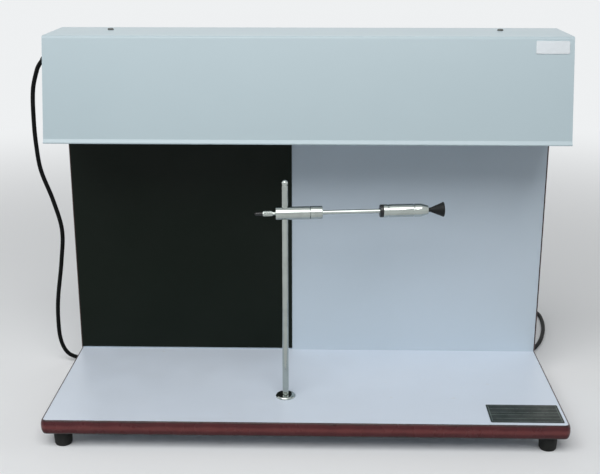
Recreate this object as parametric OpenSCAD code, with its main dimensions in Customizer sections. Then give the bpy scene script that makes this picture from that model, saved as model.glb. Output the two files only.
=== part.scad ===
// Ampoule clarity tester: a base board and an upright board, half black and half white,
// under a lamp hood, with a chromed post and a turning ampoule holder in front of them.
// Millimetres. X runs to the right, Y to the back, Z up; the table is at Z = 0.

/* [Boards] */
// Width of the base board and of the upright board
board_w = 660; // [650:5:720]
// Depth of the base board from front to back
base_d = 251; // [240:1:280]
// Thickness of both boards
board_t = 18; // [16:1:20]
// Radius of the front corners of the base board
corner_r = 5; // [3:1:12]
// How far the edging stands out from the board
edging_proud = 3; // [2:0.5:4]
// How far the edging laps past each face of the board
edging_lip = 0.5; // [0:0.1:0.6]
// Thickness of the edging's barbed stem
stem_t = 1.6; // [1.2:0.1:2]
// Depth of the edging's barbed stem
stem_l = 8; // [6:0.5:10]
// Distance of the boundary between black and white from the middle, to the left
divide_x = 22; // [-40:1:60]
// Thickness of the black facing sheet
sheet_t = 1; // [0.6:0.1:1.5]
// Gap between the black facing sheet and the base board
sheet_lift = 2.5; // [1:0.5:5]

/* [Feet] */
// Height of a rubber foot
foot_h = 22; // [18:1:28]
// Diameter of a rubber foot
foot_d = 24; // [20:1:30]
// Distance of a foot's axis from the side of the base board
foot_side = 21; // [16:1:40]
// Distance of a foot's axis from the front and back of the base board
foot_end = 17; // [14:1:34]
// Diameter of the recess for the screw head in a foot
foot_recess_d = 11; // [10:0.5:13]
// Depth of the recess for the screw head in a foot
foot_recess = 9; // [5:0.5:12]

/* [Plates] */
// Width of the rating plate on the base board
plate_w = 88; // [70:1:90]
// Depth of the rating plate on the base board
plate_d = 45; // [30:1:46]
// Thickness of the rating plate and of the badge
plate_t = 0.6; // [0.4:0.1:1]
// Distance of the rating plate from the right side of the base board
plate_side = 6; // [4:1:20]
// Distance of the rating plate from the front of the base board
plate_front = 7; // [4:1:12]
// Width of the badge on the hood
badge_w = 42; // [30:1:46]
// Height of the badge on the hood
badge_h = 16; // [12:1:20]
// Distance of the badge's middle from the right end of the hood
badge_side = 27; // [25:1:40]
// Distance of the badge's middle below the top of the hood
badge_drop = 13; // [12:1:24]

/* [Hood] */
// Height of the hood's lower edge above the base board
hood_lift = 330.5; // [325:0.5:360]
// Height of the hood itself
hood_h = 132.5; // [125:0.5:150]
// Distance of the hood's lower front edge in front of the upright board
hood_reach = 119; // [115:1:128]
// How far the hood's front leans back over its height
hood_lean = 29; // [20:1:32]
// Thickness of the hood's steel
hood_t = 1.2; // [0.8:0.1:1.5]
// Outer radius of the bend between the hood's front and its top
hood_bend = 4; // [3:0.5:8]
// Depth of the stiffening flange along the hood's lower front edge
hood_flange = 13; // [8:1:14]
// Height of the hood's rear flange, which is screwed to the upright board
rear_flange = 45; // [35:1:70]
// Width of the flanges on the hood's end plates
end_flange = 10; // [6:1:12]
// Distance of the left top screw from the middle
top_screw_left = 261; // [240:1:262]
// Distance of the right top screw from the middle
top_screw_right = 253; // [240:1:262]
// Distance of the top screws in front of the upright board
top_screw_back = 18; // [15:1:24]
// Number of screws in the rear flange
rear_screws = 5; // [3:1:7]

/* [Lamps] */
// Diameter of a lamp tube
lamp_d = 26; // [24:1:26]
// Distance of a lamp's end face from the side of the boards
lamp_margin = 35; // [35:1:60]
// Height of the lamps' axes above the hood's lower edge
lamp_rise = 44; // [42:1:50]
// Distance between the axes of the two lamps
lamp_pitch = 48; // [46:1:52]
// Distance of the rear lamp's axis in front of the upright board
lamp_back = 30; // [28:1:34]
// Distance of a lamp pin from the lamp's axis
pin_pitch_r = 6.35; // [6:0.05:6.5]
// Diameter of a lamp pin
pin_d = 2.4; // [2.2:0.1:2.6]
// Length of a lamp pin
pin_l = 7; // [6:0.5:7.5]
// Thickness of a lampholder along the lamp
holder_t = 14; // [12:1:16]
// Thickness of the gear tray's steel
tray_t = 0.8; // [0.6:0.1:1.2]
// Height of the gear tray above the lamps' axes
tray_rise = 19; // [18:0.5:22]
// Length of a choke's body
choke_l = 150; // [120:5:160]
// Width of a choke's body
choke_w = 41; // [36:1:44]
// Height of a choke's body
choke_h = 28; // [24:1:32]
// Height of a starter above its socket
starter_h = 34; // [30:1:36]

/* [Post] */
// Distance of the post from the middle, to the left
post_side = 26; // [10:1:60]
// Distance of the post's axis behind the front of the base board
post_back = 76.5; // [60:0.5:90]
// Diameter of the post
post_d = 8; // [6:0.5:9]
// Height of the post's tip above the base board
post_h = 294; // [270:1:300]
// Diameter of the post's journal in its bush
journal_d = 5.2; // [4.5:0.1:5.5]
// Diameter of the bush's flange
bush_flange_d = 26; // [20:1:32]
// Height of the bush's flange
bush_flange_h = 3; // [2:0.5:5]
// Diameter of the bush's threaded barrel
bush_d = 14; // [10:1:14]

/* [Ampoule holder] */
// Height of the arm's axis above the base board
arm_h = 251; // [200:1:255]
// Angle by which the arm is swung back from the front's line
arm_swing = 6.5; // [0:0.5:20]
// Outer diameter of the cross boss, collet nut and chuck
barrel_d = 16.5; // [15:0.5:18]
// Length of the cross boss to the left of the post's axis
boss_left = 11.8; // [9:0.2:14]
// Length of the cross boss to the right of the post's axis
boss_right = 31.3; // [28:0.1:36]
// Length of the collet nut
nut_l = 15.2; // [13:0.1:18]
// Diameter of the collet's slotted fingers
collet_d = 10.8; // [9:0.1:12]
// Diameter of the arm rod
rod_d = 5.5; // [4.5:0.1:6]
// Free length of the arm rod between the collet nut and the chuck's collar
rod_free = 73; // [60:1:80]
// Distance of the rod's inner end from the post's axis
rod_inner = 15; // [14:0.5:17]
// Length of the black collar behind the chuck
collar_l = 4; // [3:0.5:6]
// Length of the chuck sleeve
chuck_l = 57.5; // [55:0.5:70]
// Length of the taper at the chuck's front
chuck_taper = 9; // [6:0.5:10]
// Diameter of the chuck's front face
chuck_nose_d = 11; // [9:0.5:14]
// Length of the rubber cup in front of the chuck
cup_l = 20; // [16:0.5:24]
// Diameter of the rubber cup's mouth
cup_d = 19; // [14:0.5:22]
// Diameter of the rubber cup's neck
cup_neck_d = 6; // [5:0.5:8]
// Diameter of the lock screw's thread
lock_d = 5; // [4:0.5:5.5]
// Length of the lock screw's bare neck
neck_l = 3.5; // [2:0.5:6]
// Length of the lock screw's knurled head
knurl_l = 12.5; // [8:0.5:16]
// Diameter of the lock screw's knurled head
knurl_d = 6.4; // [6.2:0.1:8]
// Length of the dark grip on the lock screw
grip_l = 10; // [6:0.5:16]
// Diameter of the dark grip on the lock screw
grip_d = 4.6; // [4:0.1:6]

/* [Switch] */
// Distance of the switch's middle below the hood's top
switch_drop = 37.5; // [28:0.5:45]
// Distance of the switch's middle in front of the upright board
switch_back = 40; // [35:1:52]
// Height of the switch's bezel
bezel_h = 21; // [20:0.5:24]
// Width of the switch's bezel
bezel_w = 15; // [14:0.5:18]
// How far the bezel stands out from the hood's end
bezel_t = 1.8; // [1.5:0.1:3]
// Angle between the middle and each end of the rocker's travel
rocker_tilt = 10; // [6:1:12]

/* [Mains lead] */
// Diameter of the mains lead
cord_d = 6; // [5:0.5:7]
// Distance of the cable gland below the hood's top
gland_drop = 31.5; // [25:0.5:40]
// Distance of the cable gland in front of the upright board
gland_back = 11; // [10:1:30]
// Radius on which the gland's boot bends down
boot_bend = 24; // [20:1:30]
// Angle through which the gland's boot bends down
boot_turn = 50; // [40:1:60]
// Radius of the coil's innermost turn
coil_inner_r = 29; // [26:1:34]
// Distance between neighbouring turns and layers of the coil
coil_step = 6.6; // [6.5:0.1:8]
// Width of the tie around the coil
tie_w = 8; // [6:1:9]
// Thickness of the tie around the coil
tie_t = 1; // [0.8:0.1:1.4]

/* [Clearances] */
// Gap at which a fixed piece lies on its seat
seat = 0.1; // [0.05:0.05:0.2]
// Gap between pieces that move past each other
free_gap = 0.3; // [0.2:0.05:0.5]
// Radial clearance of a shaft that turns or slides in a hole
run_gap = 0.06; // [0.02:0.01:0.09]

/* [Hidden] */
$fn = 72;

// Levels and faces that several pieces share
half_w = board_w / 2;
base_top = foot_h + board_t;
base_mid = foot_h + board_t / 2;
edging_h = board_t + 2 * edging_lip;
upright_front = base_d - board_t;
facing_front = upright_front - sheet_t - seat;
hood_half = half_w + 2 * seat + edging_proud + hood_t + seat;
hood_front = upright_front - hood_reach;
hood_rear = base_d + edging_lip + seat + hood_t;
hood_z0 = base_top + hood_lift;
hood_z1 = hood_z0 + hood_h;
lean = atan(hood_lean / hood_h);
upright_top = hood_z1 - hood_t - free_gap;
pan_head_h = 2.2;
frame_y = (hood_rear + pan_head_h - edging_proud - seat) / 2;

// Lamps and gear tray
lamp_l = board_w - 2 * lamp_margin;
lamp_z = hood_z0 + lamp_rise;
rear_lamp_y = upright_front - lamp_back;
front_lamp_y = rear_lamp_y - lamp_pitch;
tray_z = lamp_z + tray_rise;
tray_top = tray_z + tray_t;
holder_face = lamp_l / 2 + 1;
tray_half = holder_face + holder_t + 8;
holder_r = lamp_d / 2;
top_screw_y = upright_front - top_screw_back;
tray_ahead = 22;
tray_behind = 24;
tray_front = front_lamp_y - tray_ahead;
tray_back = rear_lamp_y + tray_behind;
tray_wing = 9;
choke_gap = 100;
choke_x = (choke_l + choke_gap) / 2;
choke_foot = 12;
choke_margin = 12;
choke_y = tray_front + choke_w / 2 + choke_margin;
block_margin = 30;

// Post and ampoule holder, measured along the arm from the post's axis
post_x = -post_side;
arm_z = base_top + arm_h;
shoulder_z = base_top + seat + bush_flange_h + free_gap;
washer_t = 1.5;
bush_nut_h = 5;
bush_end = foot_h - seat - washer_t - seat - bush_nut_h - 1.2;
clip_t = 1;
clip_z = bush_end - free_gap - clip_t;
barrel_r = barrel_d / 2;
nut_start = boss_right + 2 * free_gap;
nut_end = nut_start + nut_l;
collar_start = nut_end + rod_free;
chuck_start = collar_start + collar_l + free_gap;
chuck_end = chuck_start + chuck_l;
cup_stem_d = 8.2;
cup_stem_l = 12;
rod_end = chuck_end - cup_stem_l - 5;
ring_at = rod_end - 5;
cup_end = chuck_end + seat + cup_l;
chamfer = 0.8;
groove_w = 2;
groove_t = 0.6;

// Switch
switch_z = hood_z1 - switch_drop;
switch_y = upright_front - switch_back;
case_wall = 1.1;
case_h = bezel_h - 2;
case_w = bezel_w - 2.2;
rocker_r = case_h / 2 - case_wall - free_gap;
rocker_w = case_w - 2 * case_wall - 2 * free_gap;
pivot_x = hood_half + 0.5;

// Mains lead: the route's points are chosen by hand, from the boot to the coil
cord_r = cord_d / 2;
gland_z = hood_z1 - gland_drop;
gland_y = upright_front - gland_back;
gland_flange = 3;
boot_start = -hood_half - seat - gland_flange;
boot_dir = [-cos(boot_turn), 0, -sin(boot_turn)];
boot_tip = [
  boot_start - boot_bend * sin(boot_turn),
  gland_y,
  gland_z - boot_bend * (1 - cos(boot_turn))
] + 2 * boot_dir;
tie_gap = 0.6;
coil_lift = cord_r + tie_gap + tie_t + seat;
coil_turns = 2;
coil_outer_r = coil_inner_r + coil_step * coil_turns / 2;
coil_x = 285;
coil_edge_y = 508;
coil_y = coil_edge_y - coil_outer_r;
coil_rings = 24;
rest_z = cord_r + seat;
coil_lead_in = 28;
hang_points = [
  [-365.5, 223, 449], [-373.5, 225, 421.5], [-376.5, 228, 379.5], [-376.5, 231, 343],
  [-373.5, 234, 307.5], [-360.5, 238, 263], [-352, 243, 217.5], [-357, 248, 170.5],
  [-368.5, 256, 105.5], [-372, 262, 65], [-371, 266.5, 36], [-363, 270.5, 15], [-348, 275, 5.5]
];
table_points = [
  [-330, 280], [-295, 287.5], [-240, 294], [-170, 296], [-80, 291], [10, 286], [100, 284],
  [190, 287], [260, 295], [312, 307], [344, 322], [361, 347], [374, 380], [384, 420],
  [388.5, 460], [385.5, 487], [371, 503], [352, coil_edge_y], [332, coil_edge_y]
];
free_route = concat(
  [boot_tip, boot_tip + cord_d * boot_dir],
  hang_points,
  [for (p = table_points) [p[0], p[1], rest_z]],
  [[coil_x + coil_lead_in, coil_edge_y, coil_lift], [coil_x + 2 * cord_d, coil_edge_y, coil_lift]],
  [[coil_x + cord_d, coil_edge_y, coil_lift]]
);
plug_z = coil_lift + coil_step;
tail_l = 46;
tail_x = coil_x - cord_d;
tail_route = [
  [tail_x, coil_edge_y, plug_z],
  [tail_x - cord_d, coil_edge_y, plug_z],
  [tail_x - tail_l / 2, coil_edge_y + 1, plug_z - 0.6],
  [tail_x - tail_l + cord_d, coil_edge_y, plug_z],
  [tail_x - tail_l, coil_edge_y, plug_z]
];
plug_relief = 24;
plug_body = 38;

// Colours as seen
white_board = [0.86, 0.89, 0.91];
white_paint = [0.80, 0.86, 0.88];
maroon = [0.38, 0.20, 0.20];
dull_black = [0.10, 0.12, 0.11];
soft_black = [0.07, 0.07, 0.07];
chromed = [0.75, 0.77, 0.76];
plated = [0.66, 0.67, 0.68];
brass_yellow = [0.78, 0.62, 0.30];
lamp_white = [0.95, 0.96, 0.97];

// Places everything in the part's own frame: the origin lies under the middle of its box
module placed() {
  translate([0, -frame_y, 0]) children();
}

// The arm's own frame: X along the arm, the origin on the post's axis
module on_arm() {
  placed() translate([post_x, post_back, arm_z]) rotate([0, 0, arm_swing]) children();
}

// A body of revolution about the X axis, from a profile of [radius, distance] points
module turned_x(profile) {
  rotate([0, 90, 0]) rotate_extrude() polygon(profile);
}

// A rod along X with chamfered ends
module rod_x(from, to, r, c = 0.4) {
  turned_x([[0, from], [r - c, from], [r, from + c], [r, to - c], [r - c, to], [0, to]]);
}

// A plain cylinder along X
module bar_x(from, to, r) {
  translate([from, 0, 0]) rotate([0, 90, 0]) cylinder(h = to - from, r = r);
}

// A pan head screw with its head's seat at the origin and its shank pointing down
module pan_screw(shank_d, shank_l, head_d, head_h = pan_head_h) {
  rotate_extrude() polygon([
    [0, -shank_l], [shank_d / 2 - 0.6, -shank_l], [shank_d / 2, -shank_l + 1.2],
    [shank_d / 2, 0], [head_d / 2, 0], [head_d / 2, head_h * 0.4],
    [head_d / 2 - head_h * 0.3, head_h * 0.85], [head_d / 4, head_h], [0, head_h]
  ]);
}

// A countersunk screw that points up, with its head's flat face at the origin
module sunk_screw(shank_d, shank_l, head_d) {
  rotate_extrude() polygon([
    [0, 0], [head_d / 2, 0], [shank_d / 2, (head_d - shank_d) / 2],
    [shank_d / 2, shank_l - 2], [0, shank_l]
  ]);
}

// Edging: a bull-nosed strip, with X outwards from the board's edge and Y up
module edging_nose() {
  nose_r = (pow(edging_h / 2, 2) + pow(edging_proud, 2)) / (2 * edging_proud);
  half_angle = asin(edging_h / 2 / nose_r);
  steps = 12;
  polygon([
    for (i = [0 : steps]) let (a = half_angle * (2 * i / steps - 1))
      [seat + edging_proud - nose_r + nose_r * cos(a), nose_r * sin(a)]
  ]);
}

module edging_stem() {
  translate([seat - stem_l, -stem_t / 2]) square([stem_l, stem_t]);
}

// A straight run of edging along -Y from the origin, outwards to +X
module edging_run(length, stem_from, stem_to) {
  rotate([90, 0, 0]) {
    linear_extrude(length) edging_nose();
    translate([0, 0, stem_from]) linear_extrude(stem_to - stem_from) edging_stem();
  }
}

// The sawn slot that takes the edging's stem, in the same frame as the run
module edging_slot(length) {
  slot_t = stem_t + 2 * seat;
  rotate([90, 0, 0]) translate([-stem_l - seat, -slot_t / 2, -1])
    cube([stem_l + seat + 1, slot_t, length + 2]);
}

module board_outline() {
  translate([-half_w, corner_r]) square([board_w, base_d - corner_r]);
  translate([-half_w + corner_r, 0]) square([board_w - 2 * corner_r, corner_r]);
  for (s = [-1, 1]) translate([s * (half_w - corner_r), corner_r]) circle(r = corner_r);
}

// The four corners where the feet stand
module at_feet() {
  for (s = [-1, 1], y = [foot_end, base_d - foot_end])
    translate([s * (half_w - foot_side), y, 0]) children();
}

board_screw_n = 5;
board_screw_side = 50;
board_screw_d = 4.5;
board_screw_l = 45;
board_screw_head = 9;
module at_board_screws() {
  reach = board_w - 2 * board_screw_side;
  for (i = [0 : board_screw_n - 1])
    translate([-reach / 2 + i * reach / (board_screw_n - 1), base_d - board_t / 2, foot_h])
      children();
}

foot_screw_d = 4.2;
foot_screw_grip = 12;
foot_screw_l = foot_h - foot_recess + foot_screw_grip;
module base_board() {
  color(white_board) placed() difference() {
    translate([0, 0, foot_h]) linear_extrude(board_t) board_outline();
    for (m = [0, 1]) mirror([m, 0, 0]) translate([half_w, base_d, base_mid]) edging_slot(base_d);
    translate([half_w, 0, base_mid]) rotate([0, 0, -90]) edging_slot(board_w);
    translate([post_x, post_back, foot_h - 1]) cylinder(h = board_t + 2, d = bush_d + 2 * seat);
    at_feet() translate([0, 0, foot_h - 1])
      cylinder(h = foot_screw_grip + 2, d = foot_screw_d + 2 * seat);
    at_board_screws() {
      translate([0, 0, -1]) cylinder(h = board_t + 2, d = board_screw_d + 2 * seat);
      translate([0, 0, -seat]) cylinder(
        h = (board_screw_head - board_screw_d) / 2 + 2 * seat,
        d1 = board_screw_head + 4 * seat, d2 = board_screw_d + 2 * seat
      );
    }
  }
}

module base_edging() {
  side_run = base_d - corner_r;
  front_run = board_w - 2 * corner_r;
  notch = stem_l + 2;
  color(maroon) placed() translate([0, 0, base_mid]) {
    for (m = [0, 1]) mirror([m, 0, 0]) {
      translate([half_w, base_d, 0]) edging_run(side_run, 0, side_run - notch);
      translate([half_w - corner_r, corner_r, 0]) rotate([0, 0, -90])
        rotate_extrude(angle = 90) translate([corner_r, 0]) edging_nose();
    }
    translate([half_w - corner_r, 0, 0]) rotate([0, 0, -90])
      edging_run(front_run, notch, front_run - notch);
  }
}

module rubber_feet() {
  r = foot_d / 2;
  bore = foot_screw_d / 2 + seat;
  color(soft_black) placed() at_feet() rotate_extrude() polygon([
    [foot_recess_d / 2, 0], [r - 2.4, 0], [r - 1.4, 0.6], [r - 0.9, 2],
    [r, foot_h - seat], [bore, foot_h - seat], [bore, foot_recess], [foot_recess_d / 2, foot_recess]
  ]);
}

module foot_screws() {
  color(plated) placed() at_feet() translate([0, 0, foot_recess - seat]) mirror([0, 0, 1])
    pan_screw(foot_screw_d, foot_screw_l, 2 * foot_screw_d, 2.6);
}

module rating_plate() {
  r = 2;
  color(soft_black) placed()
    translate([half_w - plate_side - plate_w, plate_front, base_top + seat])
      linear_extrude(plate_t) {
        translate([r, 0]) square([plate_w - 2 * r, plate_d]);
        translate([0, r]) square([plate_w, plate_d - 2 * r]);
        for (x = [r, plate_w - r], y = [r, plate_d - r]) translate([x, y]) circle(r = r);
      }
}

module post_bush() {
  fr = bush_flange_d / 2;
  top = base_top + seat + bush_flange_h;
  color(chromed) placed() translate([post_x, post_back, 0]) rotate_extrude() polygon([
    [journal_d / 2 + run_gap, bush_end], [bush_d / 2 - 0.6, bush_end],
    [bush_d / 2, bush_end + 0.6], [bush_d / 2, base_top + seat], [fr, base_top + seat],
    [fr, top - 1.6], [fr - 0.5, top - 0.6], [fr - 1.6, top],
    [journal_d / 2 + run_gap, top]
  ]);
}

module bush_washer() {
  color(plated) placed()
    translate([post_x, post_back, foot_h - seat - washer_t]) difference() {
      cylinder(h = washer_t, d = bush_d + 12);
      translate([0, 0, -1]) cylinder(h = washer_t + 2, d = bush_d + 2 * seat);
    }
}

module bush_nut() {
  color(plated) placed()
    translate([post_x, post_back, foot_h - 2 * seat - washer_t - bush_nut_h]) difference() {
      cylinder(h = bush_nut_h, d = bush_d + 8, $fn = 6);
      translate([0, 0, -1]) cylinder(h = bush_nut_h + 2, d = bush_d + 2 * seat);
    }
}

module upright_board() {
  low = base_top + seat;
  tall = upright_top - low;
  color(white_board) placed() difference() {
    translate([-half_w, upright_front, low]) cube([board_w, board_t, tall]);
    for (m = [0, 1]) mirror([m, 0, 0])
      translate([half_w, base_d - board_t / 2, low]) rotate([-90, 0, 0]) edging_slot(tall);
    at_board_screws() translate([0, 0, board_t])
      cylinder(h = board_screw_l - board_t + 1, d = board_screw_d + 2 * seat);
    at_rear_screws() translate([0, 1, 0]) rotate([90, 0, 0])
      cylinder(h = rear_screw_l + 1.5, d = rear_screw_d + 2 * seat);
  }
}

module upright_edging() {
  low = base_top + edging_lip + seat;
  tall = upright_top - low;
  color(maroon) placed() for (m = [0, 1]) mirror([m, 0, 0])
    translate([half_w, base_d - board_t / 2, low]) rotate([-90, 0, 0])
      edging_run(tall, 0, tall);
}

module black_sheet() {
  low = base_top + sheet_lift;
  color(dull_black) placed() translate([-half_w, facing_front, low])
    cube([half_w - divide_x, sheet_t, upright_top - low]);
}

module board_screws() {
  color(plated) placed() at_board_screws() sunk_screw(board_screw_d, board_screw_l, board_screw_head);
}

// Extrudes a Y-Z outline along X, from one X to another
module along_x(from, to) {
  translate([from, 0, 0]) rotate([90, 0, 90]) linear_extrude(to - from) children();
}

// The hood as a solid block with its bend rounded, drawn in by an inset, from one X to another
module hood_block(inset, from, to) {
  centre = [
    hood_front + (hood_h - hood_bend) * tan(lean) + hood_bend / cos(lean),
    hood_z1 - hood_bend
  ];
  r = hood_bend - inset;
  along_x(from, to) polygon([
    [hood_front + inset / cos(lean), hood_z0],
    centre + r * [-cos(lean), sin(lean)],
    centre,
    centre + [0, r],
    [hood_rear - inset, hood_z1 - inset],
    [hood_rear - inset, hood_z0]
  ]);
  translate([0, centre[0], centre[1]]) bar_x(from, to, r);
}

function hood_front_at(z) = hood_front + (z - hood_z0) * tan(lean);

// A place on the hood's sloping front, with -Y pointing straight out of it
module on_hood_front(x, z) {
  translate([x, hood_front_at(z), z]) rotate([-lean, 0, 0]) children();
}

top_screw_d = 4;
rear_screw_d = 3.5;
rear_screw_l = 15;
rear_screw_z = hood_z1 - rear_flange / 2;
rear_screw_side = 40;
top_screw_l = 12;
module at_top_screws() {
  for (x = [-top_screw_left, top_screw_right]) translate([x, top_screw_y, 0]) children();
}

module at_rear_screws() {
  reach = board_w - 2 * rear_screw_side;
  for (i = [0 : rear_screws - 1])
    translate([-reach / 2 + i * reach / (rear_screws - 1), base_d, rear_screw_z]) children();
}

module hood_shell() {
  color(white_paint) placed() difference() {
    union() {
      difference() {
        hood_block(0, -hood_half, hood_half);
        hood_block(hood_t, -hood_half - 1, hood_half + 1);
        along_x(-hood_half - 1, hood_half + 1)
          translate([hood_front, hood_z0 - 1]) square([hood_rear, 1 + seat]);
        translate([-hood_half - 1, hood_rear - hood_t - 1, hood_z0 - 1])
          cube([2 * hood_half + 2, hood_t + 2, hood_h - rear_flange + 1]);
      }
      along_x(-hood_half, hood_half) polygon([
        [hood_front, hood_z0], [hood_front + hood_flange, hood_z0],
        [hood_front + hood_flange, hood_z0 + hood_t], [hood_front + hood_t * tan(lean), hood_z0 + hood_t]
      ]);
    }
    at_top_screws() translate([0, 0, hood_z1 - hood_t - 1])
      cylinder(h = hood_t + 2, d = top_screw_d + 0.5);
    at_rear_screws() translate([0, 5, 0]) rotate([90, 0, 0]) cylinder(h = 5, d = rear_screw_d + 0.5);
  }
}

// The right end plate, with flanges folded in behind the front, under the top and along the bottom
module hood_end() {
  inset = hood_t + seat;
  bottom_from = hood_front + hood_flange + 1;
  flange_back = facing_front - 2;
  difference() {
    union() {
      hood_block(inset, hood_half - hood_t, hood_half);
      difference() {
        hood_block(inset, hood_half - hood_t - end_flange, hood_half);
        hood_block(inset + hood_t, hood_half - hood_t - end_flange - 1, hood_half + 1);
        translate([0, flange_back, 0]) cube([2 * hood_half, hood_rear, hood_z1]);
      }
      along_x(hood_half - hood_t - end_flange, hood_half)
        translate([bottom_from, hood_z0]) square([flange_back - bottom_from, hood_t]);
    }
    along_x(hood_half - hood_t - end_flange - 1, hood_half + 1)
      translate([hood_front - 1, hood_z0 - 1]) square([hood_flange + 2, hood_t + seat + 1]);
  }
}

module hood_end_left() {
  color(white_paint) placed() difference() {
    mirror([1, 0, 0]) hood_end();
    translate([0, gland_y, gland_z]) bar_x(-hood_half - 1, -hood_half + 3, gland_barrel_d / 2 + seat);
  }
}

module hood_end_right() {
  color(white_paint) placed() difference() {
    hood_end();
    translate([hood_half - 3, switch_y - case_w / 2 - seat, switch_z - case_h / 2 - seat])
      cube([4, case_w + 2 * seat, case_h + 2 * seat]);
  }
}

module hood_badge() {
  r = 1.5;
  color(plated) placed() on_hood_front(hood_half - badge_side, hood_z1 - badge_drop)
    translate([-badge_w / 2, -seat, -badge_h / 2]) rotate([90, 0, 0]) linear_extrude(plate_t) {
      translate([r, 0]) square([badge_w - 2 * r, badge_h]);
      translate([0, r]) square([badge_w, badge_h - 2 * r]);
      for (x = [r, badge_w - r], y = [r, badge_h - r]) translate([x, y]) circle(r = r);
    }
}

bracket_t = 1.5;
bracket_w = 16;
bracket_reach = 20;
module hood_top_screws() {
  nut_top = hood_z1 - hood_t - 2 * seat - bracket_t;
  color(plated) placed() at_top_screws() {
    translate([0, 0, hood_z1 + seat]) pan_screw(top_screw_d, top_screw_l, 2 * top_screw_d);
    translate([0, 0, nut_top - 3.2 - seat]) difference() {
      cylinder(h = 3.2, d = 8.1, $fn = 6);
      translate([0, 0, -1]) cylinder(h = 6, d = top_screw_d + 2 * seat);
    }
  }
}

module hood_rear_screws() {
  color(plated) placed() at_rear_screws()
    translate([0, hood_rear - base_d + seat, 0]) rotate([-90, 0, 0])
      pan_screw(rear_screw_d, rear_screw_l + 1, 7, pan_head_h - seat);
}

// Where the gear is screwed down on the tray: choke feet and bracket feet
function choke_screw_x() = [
  for (s = [-1, 1], e = [-1, 1]) s * choke_x + e * (choke_l / 2 + choke_foot / 2)
];
gear_screw_d = 4;

module at_gear_screws() {
  for (x = choke_screw_x()) translate([x, choke_y, 0]) children();
  at_top_screws() children();
}

// The four places where a lamp's end meets its holder, with +X pointing away from the lamp
module at_lamp_ends() {
  for (m = [0, 1], y = [front_lamp_y, rear_lamp_y])
    mirror([m, 0, 0]) translate([holder_face, y, lamp_z]) children();
}

neck_w = 14;
neck_t = 8;
module gear_tray() {
  splay = tray_wing * 0.3;
  color(white_paint) placed() difference() {
    union() {
      translate([-tray_half, tray_front, tray_z]) cube([2 * tray_half, tray_back - tray_front, tray_t]);
      for (edge = [[tray_front, -1], [tray_back, 1]]) along_x(-tray_half, tray_half)
        translate([edge[0], tray_z]) scale([edge[1], 1]) polygon([
          [0, 0], [splay, -tray_wing], [splay - tray_t, -tray_wing], [-tray_t, tray_t], [0, tray_t]
        ]);
    }
    at_gear_screws() translate([0, 0, tray_z - 1]) cylinder(h = tray_t + 2, d = gear_screw_d + 2 * seat);
    at_lamp_ends() translate([(holder_t - neck_t) / 2 - seat, -neck_w / 2 - seat, tray_rise - 1])
      cube([neck_t + 2 * seat, neck_w + 2 * seat, tray_t + 2]);
  }
}

module tray_brackets() {
  low = tray_top + seat;
  high = hood_z1 - hood_t - seat;
  back = top_screw_y + bracket_reach / 2;
  color(plated) placed() for (x = [-top_screw_left, top_screw_right]) difference() {
    along_x(x - bracket_w / 2, x + bracket_w / 2) {
      translate([back - bracket_reach, low]) square([bracket_reach, bracket_t]);
      translate([back - bracket_t, low]) square([bracket_t, high - low]);
      translate([back - bracket_reach, high - bracket_t]) square([bracket_reach, bracket_t]);
    }
    translate([x, top_screw_y, low - 1])
      cylinder(h = high - low + 2, d = top_screw_d + 0.4);
  }
}

module gear_screws() {
  color(plated) placed() {
    for (x = choke_screw_x())
      translate([x, choke_y, tray_top + 2 * seat + choke_plate_t]) pan_screw(gear_screw_d, 7, 7.5);
    at_top_screws() translate([0, 0, tray_top + 2 * seat + bracket_t]) pan_screw(gear_screw_d, 7, 7.5);
  }
}

// A lampholder: a rounded block with a ring-shaped groove in which the lamp's pins turn
module lampholders() {
  groove_in = pin_pitch_r - pin_d / 2 - free_gap;
  groove_out = pin_pitch_r + pin_d / 2 + free_gap;
  top = tray_rise - seat;
  color(lamp_white) placed() at_lamp_ends() difference() {
    union() {
      rod_x(0, holder_t, holder_r - 1, 1);
      translate([0, -holder_r + 1, 0]) cube([holder_t, 2 * holder_r - 2, top]);
      translate([(holder_t - neck_t) / 2, -neck_w / 2, 0]) cube([neck_t, neck_w, tray_rise + tray_t + 4]);
    }
    rotate([0, 90, 0]) translate([0, 0, -1]) difference() {
      cylinder(h = pin_l + 1, r = groove_out);
      translate([0, 0, -1]) cylinder(h = pin_l + 3, r = groove_in);
    }
    translate([-1, -pin_d / 2 - free_gap, -holder_r - 1])
      cube([pin_l + 1, pin_d + 2 * free_gap, holder_r + 1 - (groove_in + groove_out) / 2]);
  }
}

choke_plate_t = 1.2;
module chokes() {
  low = tray_top + seat;
  color(soft_black) placed() for (s = [-1, 1]) translate([s * choke_x, choke_y, low]) difference() {
    union() {
      along_x(-choke_l / 2, choke_l / 2) {
        translate([-choke_w / 2, 0]) square([choke_w, choke_h - 3]);
        translate([-choke_w / 2 + 3, 0]) square([choke_w - 6, choke_h]);
        for (e = [-1, 1]) translate([e * (choke_w / 2 - 3), choke_h - 3]) circle(r = 3);
      }
      translate([-choke_l / 2 - choke_foot, -choke_w / 2 + 4, 0])
        cube([choke_l + 2 * choke_foot, choke_w - 8, choke_plate_t]);
      for (e = [-1, 1]) translate([e * (choke_l / 2 - 12) - 6, -9, choke_h - 1]) cube([12, 18, 7]);
    }
    for (e = [-1, 1]) translate([e * (choke_l / 2 + choke_foot / 2), 0, -1])
      cylinder(h = choke_plate_t + 2, d = gear_screw_d + 0.4);
  }
}

socket_h = 12;
starter_d = 21.5;
starter_x = starter_d / 2 + 11;
starter_y = tray_back - starter_d / 2 - 9;
module at_starters() {
  for (s = [-1, 1]) translate([s * starter_x, starter_y, tray_top + seat]) children();
}

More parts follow.
